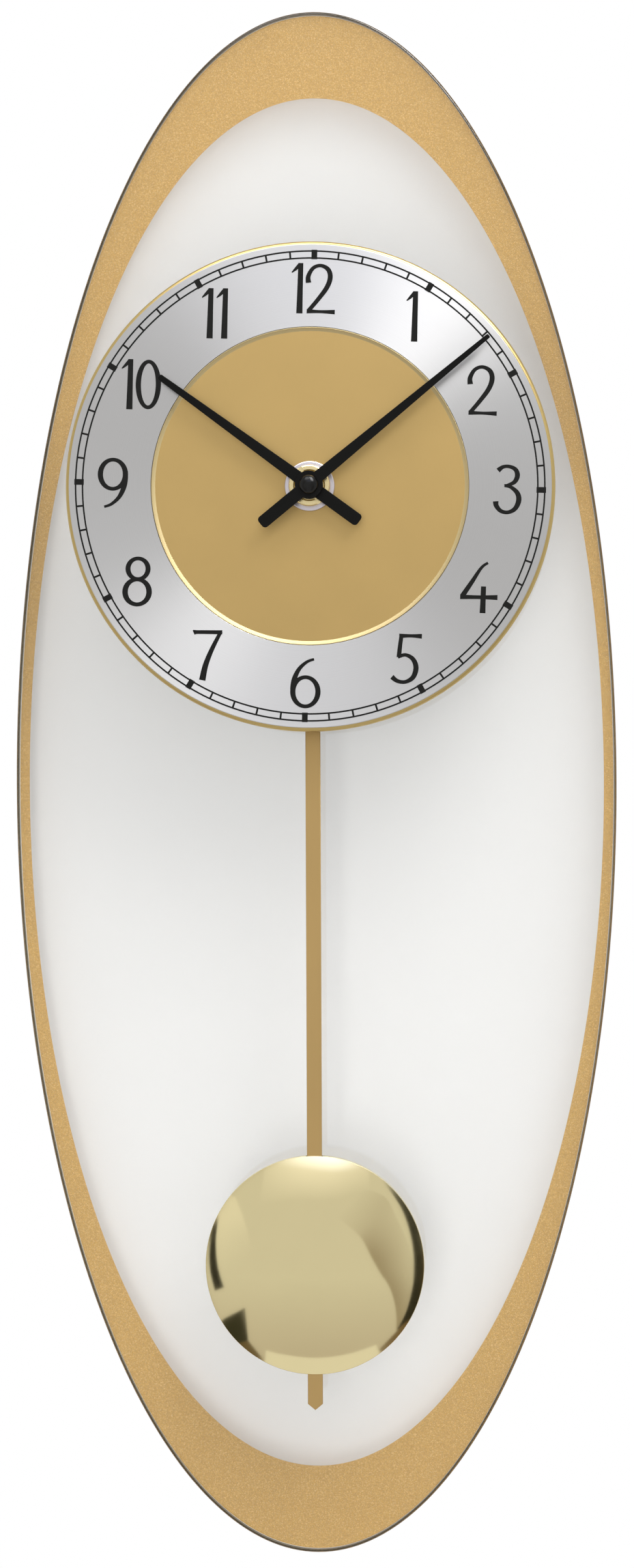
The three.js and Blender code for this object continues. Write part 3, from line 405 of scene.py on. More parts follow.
@dataclass(frozen=True)
class MetallicPrint(Finish):
    """Screen print with metal flakes: a fine sparkle over a soft mottle."""

    flake: Colour = (0.9, 0.7, 0.4)
    cells: float = 5200.0

    def paint(self, graph: Graph) -> dict[str, Value]:
        """Give the print its sparkle and its mottle."""
        sparkle = graph.grain(self.cells)
        base = ((sparkle > 0.9) * 0.3).mix(self.colour, self.flake)
        mottle = graph.noise(1900.0) * 0.5 + (sparkle * 0.16 + 0.67)
        return {
            "Base Color": base * graph.grey(mottle),
            "Roughness": sparkle * 0.12 + (self.roughness - 0.06),
            "Normal": graph.bump(sparkle, 0.00002, 0.4),
        }


@dataclass(frozen=True)
class SatinMetal(Finish):
    """Lacquered metal with a fine straight brushing."""

    stretch: tuple[float, float, float] = (600.0, 600.0, 9000.0)
    depth: float = 0.06

    def paint(self, graph: Graph) -> dict[str, Value]:
        """Give the metal its brushing and slow changes of gloss."""
        lines, cloud = graph.brushing(self.stretch), graph.noise(45.0)
        shade = lines * self.depth + (cloud * 0.05 + (0.975 - self.depth / 2))
        rough = lines * 0.1 + (cloud * 0.06 + (self.roughness - 0.08))
        return self.coat(graph.grey(shade), rough, lines, 0.00001, 0.35)


@dataclass(frozen=True)
class SpunMetal(Finish):
    """Metal turned on a lathe, whose fine rings draw the highlights out to the middle."""

    pitch: float = 0.00022
    stretch: float = 0.8

    def paint(self, graph: Graph) -> dict[str, Value]:
        """Give the metal its rings."""
        ring = graph.rings(self.pitch)
        rough = ring * 0.12 + (self.roughness - 0.06)
        return {
            **self.coat(graph.grey(ring * 0.1 + 0.95), rough, ring, 0.000004, 0.3),
            "Anisotropic": self.stretch, "Anisotropic Rotation": 0.25,
        }


@dataclass(frozen=True)
class PolishedMetal(Finish):
    """Polished metal, with faint smears and a hardly visible waviness."""

    def paint(self, graph: Graph) -> dict[str, Value]:
        """Give the metal its smears and waves."""
        smear, wave = graph.noise(70.0, 4.0), graph.noise(24.0, 1.0)
        rough = smear * 0.05 + self.roughness
        return self.coat(graph.grey(smear * 0.05 + 0.975), rough, wave, 0.0001, 0.3)


@dataclass(frozen=True)
class Lacquer(Finish):
    """Paint or powder coat with a fine pebbled surface and rubbed spots."""

    cells: float = 1600.0
    height: float = 0.00001

    def paint(self, graph: Graph) -> dict[str, Value]:
        """Give the coat its pebbles and its rubbed spots."""
        pebble, rubbed = graph.noise(self.cells), graph.noise(60.0, 3.0)
        shade = pebble * 0.2 + (rubbed * 0.15 + 0.825)
        rough = rubbed * 0.12 + (self.roughness - 0.06)
        return self.coat(graph.grey(shade), rough, pebble, self.height, 0.5)


@dataclass(frozen=True)
class MouldedPlastic(Finish):
    """Injection-moulded plastic with a spark-eroded grain."""

    def paint(self, graph: Graph) -> dict[str, Value]:
        """Give the plastic its grain and the clouding of its flow."""
        grain, flow = graph.noise(3000.0, 3.0), graph.noise(90.0)
        rough = grain * 0.14 + (self.roughness - 0.07)
        return self.coat(graph.grey(flow * 0.12 + 0.94), rough, grain, 0.00002, 0.5)


@dataclass(frozen=True)
class Fibre(Finish):
    """Felt: short crossed fibres, light and dark."""

    def paint(self, graph: Graph) -> dict[str, Value]:
        """Give the felt its fibres."""
        across = graph.brushing((7000.0, 1500.0, 3000.0))
        fibre = across.maximum(graph.brushing((1500.0, 7000.0, 3000.0)))
        tint = ((fibre - 0.35) * 1.4).mix((0.45, 0.45, 0.44), (1.0, 1.0, 1.0))
        return self.coat(tint, self.roughness, fibre, 0.0002, 0.8)


class Winding(Enum):
    """Which way the wire of a coil runs."""

    ROUND_X = (3300.0, 60.0, 60.0)
    ROUND_Z = (60.0, 60.0, 3300.0)


@dataclass(frozen=True)
class WoundWire(Finish):
    """Enamelled wire, wound turn beside turn."""

    winding: Winding = Winding.ROUND_Z

    def paint(self, graph: Graph) -> dict[str, Value]:
        """Give the coil its turns."""
        turns = graph.brushing(self.winding.value)
        tint = turns.mix((0.35, 0.3, 0.25), (1.15, 1.1, 1.0))
        return self.coat(tint, turns * 0.15 + self.roughness, turns, 0.00012, 0.8)


@dataclass(frozen=True)
class CircuitBoard(Finish):
    """Solder mask over glass fibre, with its copper tracks showing through."""

    def paint(self, graph: Graph) -> dict[str, Value]:
        """Give the board its weave and tracks."""
        black, white = graph.colour(0.0), graph.colour(1.0)
        track = graph.add("TexBrick", {
            "Vector": graph.place(), "Scale": 320.0, "Mortar Size": 0.03,
            "Color1": black, "Color2": black, "Mortar": white}, "Fac", offset=0.5)
        copper = tuple(min(1.0, part * 2.2) for part in self.colour)
        return {
            "Base Color": track.mix(self.colour, copper),
            "Roughness": graph.noise(2600.0, 1.0) * 0.15 + self.roughness,
            "Normal": graph.bump(track, 0.00003, 0.6),
        }


@dataclass(frozen=True)
class CellSleeve(Finish):
    """The printed sleeve of a dry cell, darker towards its plus end, over bright steel ends."""

    half: float = 0.02525

    def paint(self, graph: Graph) -> dict[str, Value]:
        """Give the cell its bands along x."""
        along = graph.add("SeparateXYZ", {"Vector": graph.place()}, "X")
        steel = (along > self.half - 0.0019).maximum(along < 0.0005 - self.half)
        sleeve = (along > self.half * 0.45).mix(self.colour, (0.3, 0.3, 0.31))
        return {
            "Base Color": steel.mix(sleeve, (0.6, 0.6, 0.6)),
            "Metallic": steel * 0.7 + 0.3,
            "Roughness": graph.noise(300.0, 4.0) * 0.16 + 0.3,
        }


@dataclass(frozen=True)
class Palette:
    """Every finish of the clock."""

    glass: Finish = ClearGlass("clear_glass", (0.985, 0.997, 0.99), 0.0)
    glass_edge: Finish = ClearGlass("glass_edge", (0.1, 0.08, 0.04), 0.05)
    gold_print: Finish = MetallicPrint("gold_print", (0.555, 0.322, 0.079), 0.34, 0.1, 0.2)
    gold_rim: Finish = SatinMetal("gold_rim", (0.54, 0.4, 0.16), 0.3, 1.0, slot="gold_lacquer")
    gold_disc: Finish = SatinMetal(
        "gold_disc", (0.54, 0.37, 0.14), 0.42, 0.85, slot="gold_lacquer",
        stretch=(9000.0, 300.0, 300.0))
    gold_lip: Finish = SatinMetal("gold_lip", (0.56, 0.46, 0.25), 0.58, 1.0, slot="gold_lacquer")
    gold_rod: Finish = SatinMetal(
        "gold_rod", (0.54, 0.362, 0.146), 0.38, 0.9, slot="gold_lacquer",
        stretch=(9000.0, 250.0, 250.0))
    aluminium: Finish = SpunMetal(
        "spun_aluminium", (0.58, 0.575, 0.57), 0.36, 1.0, slot="brushed_aluminium")
    bob: Finish = PolishedMetal("polished_brass", (0.782, 0.676, 0.381), 0.04, 1.0)
    brass: Finish = SpunMetal(
        "turned_brass", (0.84, 0.7, 0.38), 0.25, 1.0, slot="plain_brass", pitch=0.00015,
        stretch=0.4)
    washer: Finish = SpunMetal(
        "nickel_washer", (0.68, 0.64, 0.69), 0.3, 1.0, slot="zinc_steel", pitch=0.0002, stretch=0.4)
    ink: Finish = Lacquer(
        "printed_ink", (0.013, 0.013, 0.0115), 0.55, gloss=0.15, slot="black_lacquer", cells=4000.0)
    hands: Finish = Lacquer(
        "black_hands", (0.0075, 0.0073, 0.0063), 0.38, gloss=0.1, slot="black_lacquer",
        cells=3000.0)
    cap: Finish = Lacquer(
        "black_cap", (0.009, 0.009, 0.008), 0.2, gloss=0.25, slot="black_lacquer", cells=900.0)
    zinc: Finish = SatinMetal(
        "zinc_steel", (0.62, 0.62, 0.64), 0.34, 1.0, stretch=(500.0, 500.0, 4500.0), depth=0.12)
    coated: Finish = Lacquer(
        "black_coated_steel", (0.022, 0.022, 0.024), 0.5, slot="black_steel", height=0.00003)
    case: Finish = MouldedPlastic("black_plastic", (0.014, 0.014, 0.015), 0.5)
    white: Finish = MouldedPlastic("white_plastic", (0.76, 0.74, 0.7), 0.42)
    clear: Finish = MouldedPlastic("milky_plastic", (0.72, 0.73, 0.72), 0.25, slot="clear_plastic")
    rubber: Finish = Lacquer("black_rubber", (0.02, 0.02, 0.02), 0.85, cells=2200.0, height=0.00006)
    felt: Finish = Fibre("grey_felt", (0.4, 0.4, 0.39), 0.95)
    magnet: Finish = PolishedMetal("nickel_magnet", (0.6, 0.58, 0.54), 0.2, 1.0)
    coil: Finish = WoundWire("copper_coil", (0.62, 0.2, 0.06), 0.3, 0.9)
    motor_coil: Finish = WoundWire(
        "copper_motor_coil", (0.62, 0.2, 0.06), 0.3, 0.9, winding=Winding.ROUND_X)
    board: Finish = CircuitBoard("green_board", (0.02, 0.12, 0.045), 0.35)
    cell: Finish = CellSleeve("cell_sleeve", (0.03, 0.09, 0.24), 0.35, slot="battery_sleeve")


# Drawing


def ellipse(
    radius_x: float, radius_y: float, steps: int, centre: Point = (0.0, 0.0)
) -> list[Point]:
    """Draw an ellipse, anticlockwise from the right.

    Args:
        radius_x: Half its width.
        radius_y: Half its height.
        steps: How many points it has.
        centre: Its middle.

    Returns:
        Its points.
    """
    turns = [2 * math.pi * step / steps for step in range(steps)]
    return [
        (centre[0] + radius_x * math.cos(turn), centre[1] + radius_y * math.sin(turn))
        for turn in turns]


def circle(radius: float, steps: int, centre: Point = (0.0, 0.0)) -> list[Point]:
    """Draw a circle, anticlockwise from the right."""
    return ellipse(radius, radius, steps, centre)


def rectangle(left: float, bottom: float, right: float, top: float) -> list[Point]:
    """Draw a rectangle, anticlockwise from its lower left corner."""
    return [(left, bottom), (right, bottom), (right, top), (left, top)]


def arc(centre: Point, radius: float, start: float, stop: float, steps: int) -> list[Point]:
    """Draw part of a circle.

    Args:
        centre: Middle of the circle.
        radius: Its radius.
        start: Where the arc starts, in degrees from the right.
        stop: Where it ends.
        steps: How many straight pieces it has.

    Returns:
        Its points, both ends among them.
    """
    turns = [math.radians(start + (stop - start) * step / steps) for step in range(steps + 1)]
    return [
        (centre[0] + radius * math.cos(turn), centre[1] + radius * math.sin(turn))
        for turn in turns]


def rounded(sides: Sides, radius: float, shift: float = 0.0, steps: int = 8) -> list[Point]:
    """Draw a rectangle with round corners, anticlockwise.

    Args:
        sides: Its left, bottom, right and top.
        radius: Radius of the corners.
        shift: How much further in it lies, on each side.
        steps: How many straight pieces each corner has.

    Returns:
        Its points.
    """
    left, bottom, right, top = sides
    low_x, high_x = left + shift + radius, right - shift - radius
    low_y, high_y = bottom + shift + radius, top - shift - radius
    corners = ((high_x, low_y, -90), (high_x, high_y, 0), (low_x, high_y, 90), (low_x, low_y, 180))
    return [
        point for x, y, start in corners for point in arc((x, y), radius, start, start + 90, steps)]


def smooth_line(points: Sequence[Sequence[float]], closed: bool = False) -> list[Vector]:
    """Run a smooth line through points, with six pieces between two of them.

    Args:
        points: The points.
        closed: Whether the line closes on itself.

    Returns:
        The line's points.
    """
    ends, steps = [Vector(point) for point in points], 6
    count = len(ends)

    def near(index: int) -> Vector:
        """Find a point, beyond the ends too."""
        return ends[index % count] if closed else ends[max(0, min(count - 1, index))]

    line = []
    for index in range(count if closed else count - 1):
        a, b, c, d = (near(index + shift) for shift in (-1, 0, 1, 2))
        for step in range(steps):
            t = step / steps
            line.append(0.5 * (
                2 * b + (c - a) * t + (2 * a - 5 * b + 4 * c - d) * t ** 2
                + (3 * b - a - 3 * c + d) * t ** 3))
    return line if closed else [*line, ends[-1]]


def inset(outline: Sequence[Point], distance: float) -> list[Point]:
    """Move an outline to its left, as seen along it, by mitring its corners.

    Args:
        outline: A closed outline.
        distance: How far to move it.

    Returns:
        The moved outline, point for point.
    """
    moved = []
    for index, point in enumerate(outline):
        here = Vector(point)
        before = here - Vector(outline[index - 1])
        after = Vector(outline[(index + 1) % len(outline)]) - here
        normals = [
            Vector((-side.y, side.x)).normalized() for side in (before, after)
            if side.length > 1e-9]
        across = sum(normals, Vector((0.0, 0.0))).normalized()
        moved.append(tuple(here + across * (distance / max(0.35, across.dot(normals[0])))))
    return moved


class Solid:
    """Points and faces in millimetres, in the flat frame."""

    def __init__(self, *parts: "Solid") -> None:
        """Start with the points and faces of other solids.

        Args:
            parts: The other solids, if any.
        """
        self.points: list[Place] = []
        self.faces: list[tuple[int, ...]] = []
        self.slots: list[int] = []
        for part in parts:
            first = len(self.points)
            self.points.extend(part.points)
            self.faces.extend(tuple(first + corner for corner in face) for face in part.faces)
            self.slots.extend(part.slots)

    def ring(self, outline: Sequence[Point], plane: float) -> list[int]:
        """Add an outline's points on one plane.

        Args:
            outline: The outline.
            plane: Its distance from the wall.

        Returns:
            The numbers of its points.
        """
        first = len(self.points)
        self.points.extend((x, y, plane) for x, y in outline)
        return list(range(first, len(self.points)))

    def face(self, corners: Sequence[int], slot: int = 0) -> None:
        """Add one face."""
        self.faces.append(tuple(corners))
        self.slots.append(slot)

    def span(self, lower: Sequence[int], upper: Sequence[int], slot: int = 0) -> None:
        """Join two closed rings with the same number of points.

        Args:
            lower: Numbers of one ring's points.
            upper: Numbers of the other's.
            slot: Material slot of the faces.
        """
        for index in range(len(lower)):
            follow = (index + 1) % len(lower)
            self.face((lower[index], lower[follow], upper[follow], upper[index]), slot)

    def fill(self, rings: Sequence[Sequence[int]]) -> None:
        """Close a flat face.

        Args:
            rings: Numbers of the points of its outer ring, and then of the holes in it.
        """
        numbers = [index for ring in rings for index in ring]
        loops = [[Vector(self.points[index]) for index in ring] for ring in rings]
        for corners in tessellate_polygon(loops):
            self.face([numbers[corner] for corner in corners])

    @classmethod
    def plate(
        cls, outline: Sequence[Point], back: float, front: float,
        holes: Sequence[Sequence[Point]] = (), bevel: float = 0.0, steps: int = 3,
        edge_slot: int = 0,
    ) -> "Solid":
        """Draw a flat piece with round edges.

        Args:
            outline: Its outline, anticlockwise.
            back: Its plane nearer the wall.
            front: Its plane towards the viewer.
            holes: Outlines of its holes, anticlockwise.
            bevel: Radius of its edges.
            steps: How many faces go round an edge.
            edge_slot: Material slot of its edges.

        Returns:
            The solid.
        """
        solid = cls()
        quarter = math.pi / 2
        turns = [quarter * step / steps for step in range(steps + 1)] if bevel else [quarter]
        profile = [
            (bevel * (1 - math.sin(turn)), back + bevel * (1 - math.cos(turn))) for turn in turns]
        profile += [(shift, front + back - plane) for shift, plane in reversed(profile)]
        backs, fronts = [], []
        for loop in (list(outline), *(list(reversed(hole)) for hole in holes)):
            rings = [solid.ring(inset(loop, shift), plane) for shift, plane in profile]
            for lower, upper in zip(rings, rings[1:]):
                solid.span(lower, upper, edge_slot)
            backs.append(rings[0])
            fronts.append(rings[-1])
        solid.fill(backs)
        solid.fill(fronts)
        return solid

    @classmethod
    def turned(
        cls, profile: Sequence[Point], steps: int, lip: Sequence[int] = ()
    ) -> "Solid":
        """Draw a piece turned about the z axis.

        Args:
            profile: Its (radius, plane) points; a ring comes back to its first point by itself.
            steps: How many faces go round it.
            lip: Which pieces of the profile have the second material slot.

        Returns:
            The solid.
        """
        solid = cls()
        rings = [
            solid.ring(circle(radius, steps) if radius > 1e-6 else [(0.0, 0.0)], plane)
            for radius, plane in profile]
        follows = rings[1:]
        if all(len(ring) > 1 for ring in rings):
            follows.append(rings[0])
        for index, (lower, upper) in enumerate(zip(rings, follows)):
            if len(lower) == len(upper) == steps:
                solid.span(lower, upper, int(index in lip))
            elif len(lower) != len(upper):
                tip, around = (lower[0], upper) if len(lower) == 1 else (upper[0], lower)
                for step in range(steps):
                    solid.face((tip, around[step], around[(step + 1) % steps]))
        return solid

    @classmethod
    def lofted(cls, rings: Sequence[tuple[Sequence[Point], float]]) -> "Solid":
        """Draw a closed skin through outlines that have the same number of points.

        Args:
            rings: The outlines and their planes, in order; the last joins the first.

        Returns:
            The solid.
        """
        solid = cls()
        numbers = [solid.ring(outline, plane) for outline, plane in rings]
        for lower, upper in zip(numbers, numbers[1:] + numbers[:1]):
            solid.span(lower, upper)
        return solid

    def changed(self, change: Callable[[float, float, float], Place]) -> "Solid":
        """Move every point.

        Args:
            change: Takes a point to its new place.

        Returns:
            The changed copy.
        """
        copy = Solid(self)
        copy.points = [change(*point) for point in self.points]
        return copy

    def turned_by(self, degrees: float) -> "Solid":
        """Give a copy turned anticlockwise about the z axis."""
        cosine, sine = math.cos(math.radians(degrees)), math.sin(math.radians(degrees))
        return self.changed(lambda a, b, c: (a * cosine - b * sine, a * sine + b * cosine, c))

    def mesh(self, name: str) -> bpy.types.Mesh:
        """Make the mesh, in metres, with its faces outwards and its sharp edges marked.

        Args:
            name: Name of the mesh.

        Returns:
            The mesh.
        """
        data = bpy.data.meshes.new(name)
        points = [tuple(part * MM for part in point) for point in self.points]
        data.from_pydata(points, [], self.faces)
        data.polygons.foreach_set("material_index", self.slots)
        return soften(data)


def soften(data: bpy.types.Mesh) -> bpy.types.Mesh:
    """Turn a mesh's faces outwards, and smooth all but its flats and its sharp edges.

    Args:
        data: The mesh.

    Returns:
        The same mesh.
    """
    work, sharp = bmesh.new(), math.radians(33.0)
    work.from_mesh(data)
    bmesh.ops.remove_doubles(work, verts=work.verts, dist=1e-7)
    bmesh.ops.recalc_face_normals(work, faces=work.faces)
    work.normal_update()
    for face in work.faces:
        face.smooth = abs(face.normal.z) < 0.9999995
    for edge in work.edges:
        edge.smooth = len(edge.link_faces) == 2 and edge.calc_face_angle(0.0) < sharp
    work.to_mesh(data)
    work.free()
    data.update()
    return data


class Cut(Enum):
    """How two meshes are combined."""

    AWAY = "DIFFERENCE"
    ONTO = "UNION"


def carved(solid: Solid, name: str, *tools: tuple[Cut, Solid]) -> bpy.types.Mesh:
    """Combine a solid with further ones, one after the other.

    Args:
        solid: The solid.
        name: Name of the mesh.
        tools: What to do with each further solid, and the solid.

    Returns:
        The combined mesh.
    """
    scene = bpy.context.scene
    items = [bpy.data.objects.new("carving", solid.mesh(name))]
    for cut, tool in tools:
        items.append(bpy.data.objects.new("tool", tool.mesh("tool")))
        step = items[0].modifiers.new("step", "BOOLEAN")
        step.operation = cut.value
        step.solver = "EXACT"
        step.object = items[-1]
    for item in items:
        scene.collection.objects.link(item)
    bpy.context.view_layer.update()
    graph = bpy.context.evaluated_depsgraph_get()
    result = bpy.data.meshes.new_from_object(items[0].evaluated_get(graph))
    for item in items:
        bpy.data.objects.remove(item)
    result.name = name
    result.materials.clear()
    return soften(result)


# The bench, where pieces are finished and handed to the bodies


class Body(Enum):
    """The moving bodies of the clock that carry new pieces."""

    FIXED = "root"
    HOUR = "hour"
    MINUTE = "minute"
    KNOB = "knob"
    PENDULUM = "pendulum"
    BOB = "bob"


@dataclass
class Bench:
    """Makes finished pieces of drawn solids and dresses the carried-over nodes."""

    nodes: dict[str, bpy.types.Object]

    def piece(
        self, name: str, node: str, shape: Solid | bpy.types.Mesh, *finishes: Finish,
        body: Body = Body.FIXED, place: Point = (0.0, 0.0), turn: float = 0.0,
    ) -> None:
        """Stand one piece up in the clock.

        Args:
            name: Name of the piece.
            node: The CAD node that it replaces, or empty.
            shape: Its solid or mesh, drawn in the flat frame round its place.
            finishes: Its finish, or one for each material slot.
            body: The body that carries it.
            place: Where it stands in the flat frame, in millimetres.
            turn: How far it is turned anticlockwise, in degrees.
        """
        data = shape.mesh(name) if isinstance(shape, Solid) else shape
        for finish in finishes:
            data.materials.append(finish.material())
        piece = bpy.data.objects.new(name, data)
        bpy.context.scene.collection.objects.link(piece)
        shift = Matrix.Translation((place[0] * MM, place[1] * MM, 0.0))
        piece.matrix_world = STAND_UP @ shift @ Matrix.Rotation(math.radians(turn), 4, "Z")
        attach(piece, body.value)
        if node:
            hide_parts(node)
        finishes[0].slot or finishes[0].name
        log.info("%s: %d faces, on %s", name, len(data.polygons), body.value)

    def dress(self, finish: Finish, *names: str) -> None:
        """Give CAD nodes a finish.

        Args:
            finish: The finish.
            names: The nodes.
        """
        for name in names:
            for slot in self.nodes[name].material_slots:
                slot.material = finish.material()
            log.info("%s: dressed in %s", name, finish.name)


# Sub-assemblies


@dataclass
class Assembly:
    """A part of the clock, which is built on the bench in the palette's finishes."""

    bench: Bench
    palette: Palette


@dataclass
class GlassPanel(Assembly):
    """The oval glass with the gold print on its back and the bumpers behind it."""

    width: float = 195.0
    height: float = 500.0
    drop: float = 93.5
    edge: float = 0.8
    margin: float = 0.96
    band_sides: float = 4.05
    band_ends: float = 27.7
    hole: float = 38.0
    hole_drop: float = 6.0
    grommet_hole: float = 3.0
    contact: float = 0.02

    def outline(self, inset_x: float, inset_y: float) -> list[Point]:
        """Draw the panel's oval about its middle, with its sides and ends moved inwards."""
        return ellipse(self.width / 2 - inset_x, self.height / 2 - inset_y, 288)

    def build(self) -> None:
        """Make the glass, its print and its bumpers."""
        glass, band, place = Box.of("glass_panel"), Box.of("gold_band"), (0.0, -self.drop)
        holes = [circle(self.hole, 96, (0.0, self.drop - self.hole_drop))]
        for index in range(1, 5):
            x, y = Box.of(f"glass_grommet_{index}").centre
            holes.append(circle(self.grommet_hole, 32, (x, y + self.drop)))
        sheet = Solid.plate(
            self.outline(0.0, 0.0), glass.back, glass.front, holes, self.edge, 5, edge_slot=1)
        self.bench.piece(
            "glass_sheet", "glass_panel", sheet, self.palette.glass, self.palette.glass_edge,
            place=place)
        border = Solid.plate(
            self.outline(self.margin, self.margin), band.back, band.front - self.contact,
            [self.outline(self.band_sides, self.band_ends)])
        self.bench.piece("gold_border", "gold_band", border, self.palette.gold_print, place=place)
        for side in ("left", "right"):
            self.bumper(side)

    def bumper(self, side: str) -> None:
        """Make one bumper and the felt pad under it.

        Args:
            side: Its side, left or right.
        """
        box, pad = Box.of(f"wall_bumper_{side}"), Box.of(f"bumper_pad_{side}")
        back, front, radius = box.back, box.front, box.half_width
        body = Solid.turned([
            (0.0, back), (radius - 1.2, back), (radius - 0.3, back + 0.3), (radius, back + 1.2),
            (radius, front - 0.8), (radius - 0.25, front - 0.25), (radius - 0.8, front),
            (0.0, front)], 48)
        self.bench.piece(
            f"bumper_{side}", f"wall_bumper_{side}", body, self.palette.clear, place=box.centre)
        felt = Solid.plate(circle(radius - 0.3, 40), pad.back, pad.front, bevel=0.5)
        self.bench.piece(
            f"felt_pad_{side}", f"bumper_pad_{side}", felt, self.palette.felt, place=box.centre)


@dataclass
class Hanger(Assembly):
    """The pressed tray behind the glass, its keyhole plate and its gasket."""

    sheet: float = 1.2
    pan_half: float = 41.52
    pan_bottom: float = -44.0
    pan_top: float = 50.5
    pan_corner: float = 10.0
    window_margin: float = 10.0
    window_top: float = 45.5
    rim_edge: float = 0.3
    roll: float = 0.18
    contact: float = 0.02
    head: float = 33.0
    head_radius: float = 5.0
    slot_half: float = 2.3
    bearing: float = 42.0

    def pan(self, shift: float) -> list[Point]:
        """Draw the pan's outline, smaller by so much on each side."""
        sides = (-self.pan_half, self.pan_bottom, self.pan_half, self.pan_top)
        return rounded(sides, self.pan_corner - shift, shift)

    def build(self) -> None:
        """Make the tray, the gasket and the keyhole plate."""
        box, gap = Box.of("hanger_tray"), Box.of("rear_gasket")
        pan, sheet, front, margin = self.pan, self.sheet, box.front, self.window_margin
        back, corner = front - sheet, 2 * self.pan_corner
        rim = rounded(box.sides, corner)
        rim_inside = rounded(box.sides, corner - self.rim_edge, self.rim_edge)
        window = rounded(
            (-self.pan_half + margin, self.pan_bottom + margin, self.pan_half - margin,
             self.window_top), self.pan_corner / 2)
        tray = Solid.lofted([
            (rim, back + self.rim_edge), (rim_inside, back), (pan(-1.2), back),
            (pan(-0.35), back - 0.35), (pan(0.0), back - 1.2), (pan(0.0), 1.8), (pan(0.53), 0.53),
            (pan(1.8), 0.0), (window, 0.0), (window, sheet), (pan(sheet + 0.6), sheet),
            (pan(sheet + 0.17), sheet + 0.17), (pan(sheet), sheet + 0.6),
            (pan(sheet), front - 2.4), (pan(sheet - 0.7), front - 0.7), (pan(sheet - 2.4), front),
            (rim_inside, front), (rim, front - self.rim_edge)])
        self.bench.piece("pressed_tray", "hanger_tray", tray, self.palette.coated)
        gasket = Solid.plate(
            rim_inside, gap.back + self.contact, gap.front - self.contact, [pan(-0.3)], 0.25)
        self.bench.piece("gasket", "rear_gasket", gasket, self.palette.rubber)
        self.keyhole_plate()

    def keyhole_plate(self) -> None:
        """Make the plate with the keyhole, which is punched with a slight roll at its edge."""
        box = Box.of("hanger_plate")
        neck = math.degrees(math.asin(self.slot_half / self.head_radius))
        keyhole = [
            *arc((0.0, self.head), self.head_radius, 90 + neck, 450 - neck, 40),
            *arc((0.0, self.bearing - self.slot_half), self.slot_half, 0, 180, 20)]
        plate = Solid.plate(
            rounded(box.sides, self.pan_corner / 2), box.back, box.front, [keyhole], self.roll)
        self.bench.piece("keyhole_plate", "hanger_plate", plate, self.palette.zinc)


@dataclass
class Bracket(Assembly):
    """The folded bracket in front of the glass, with its screws and grommets."""

    thickness: float = 1.5
    clearance: float = 1.0
    bend: float = 1.6
    screw_radius: float = 1.5
    screw_turn: float = 37.0
    thread_steps: int = 14
    thread_step: float = 0.25
    cross_half: float = 1.5
    cross_width: float = 0.64
    cross_depth: float = 0.9
    grommet_wall: float = 1.2
    flange_thickness: float = 1.0

    def build(self) -> None:
        """Make the bracket, and each screw in its grommet."""
        box, half, bend = Box.of("carrier_bracket"), self.thickness / 2, self.bend
        leg = Box.of("movement_case").right + self.clearance + half
        foot, web = box.back + half, box.front - half
        side = [
            (box.right, foot), *arc((leg + bend, foot + bend), bend, 270, 180, 8),
            *arc((leg - bend, web - bend), bend, 0, 90, 8)]
        path = [*side, *((-x, plane) for x, plane in reversed(side))]
        outline = [*self.offset(path, -half), *reversed(self.offset(path, half))]
        strip = Solid.plate(outline, box.bottom, box.top, bevel=0.2, steps=2)
        self.bench.piece(
            "folded_bracket", "carrier_bracket", strip.changed(lambda a, b, c: (a, c, b)),
            self.palette.zinc)
        screw = self.screw()
        for index in range(1, 5):
            place = Box.of(f"glass_screw_{index}").centre
            self.bench.piece(
                f"panel_screw_{index}", f"glass_screw_{index}", screw.copy(), self.palette.zinc,
                place=place, turn=self.screw_turn * index)
            self.bench.piece(
                f"grommet_{index}", f"glass_grommet_{index}", self.grommet(),
                self.palette.rubber, place=place)

    @staticmethod
    def offset(path: Sequence[Point], distance: float) -> list[Point]:
        """Move an open path sideways.

        Args:
            path: Its points.
            distance: How far to its left.

        Returns:
            The moved points.
        """
        moved = []
        for index, point in enumerate(path):
            before = Vector(path[max(index - 1, 0)])
            after = Vector(path[min(index + 1, len(path) - 1)])
            along = (after - before).normalized()
            moved.append((point[0] - along.y * distance, point[1] + along.x * distance))
        return moved

    def screw(self) -> bpy.types.Mesh:
        """Make a pan-head screw with a cross in its head."""
        box = Box.of("glass_screw_1")
        back, front, head, radius = box.back, box.front, box.half_height, self.screw_radius
        seat = Box.of("carrier_bracket").back + self.thickness
        thread = [
            (radius - self.thread_step * (step % 2), back + 0.5 + self.thread_step * step)
            for step in range(self.thread_steps)]
        body = Solid.turned([
            (0.0, back), (radius - 0.5, back), *thread, (radius, seat), (head, seat),
            (head, seat + 0.6), (head * 0.93, seat + 1.1), (head * 0.75, seat + 1.5),
            (head * 0.45, front - 0.06), (0.0, front)], 40)
        reach, half = self.cross_half, self.cross_width / 2
        blade = Solid.plate(
            rectangle(-reach, -half, reach, half), front - self.cross_depth, front + 1)
        return carved(body, "panel_screw", (Cut.AWAY, blade), (Cut.AWAY, blade.turned_by(90)))

    def grommet(self) -> Solid:
        """Draw a rubber grommet."""
        box = Box.of("glass_grommet_1")
        front, flange, bore = box.front, box.half_height, self.screw_radius + 0.15
        wall, low = bore + self.grommet_wall, front - self.flange_thickness
        return Solid.turned([
            (bore, box.back), (wall, box.back), (wall, low + 0.02), (flange - 0.3, low + 0.02),
            (flange, low + 0.3), (flange, front - 0.35), (flange - 0.12, front - 0.12),
            (flange - 0.35, front - 0.02), (bore, front - 0.02)], 40)


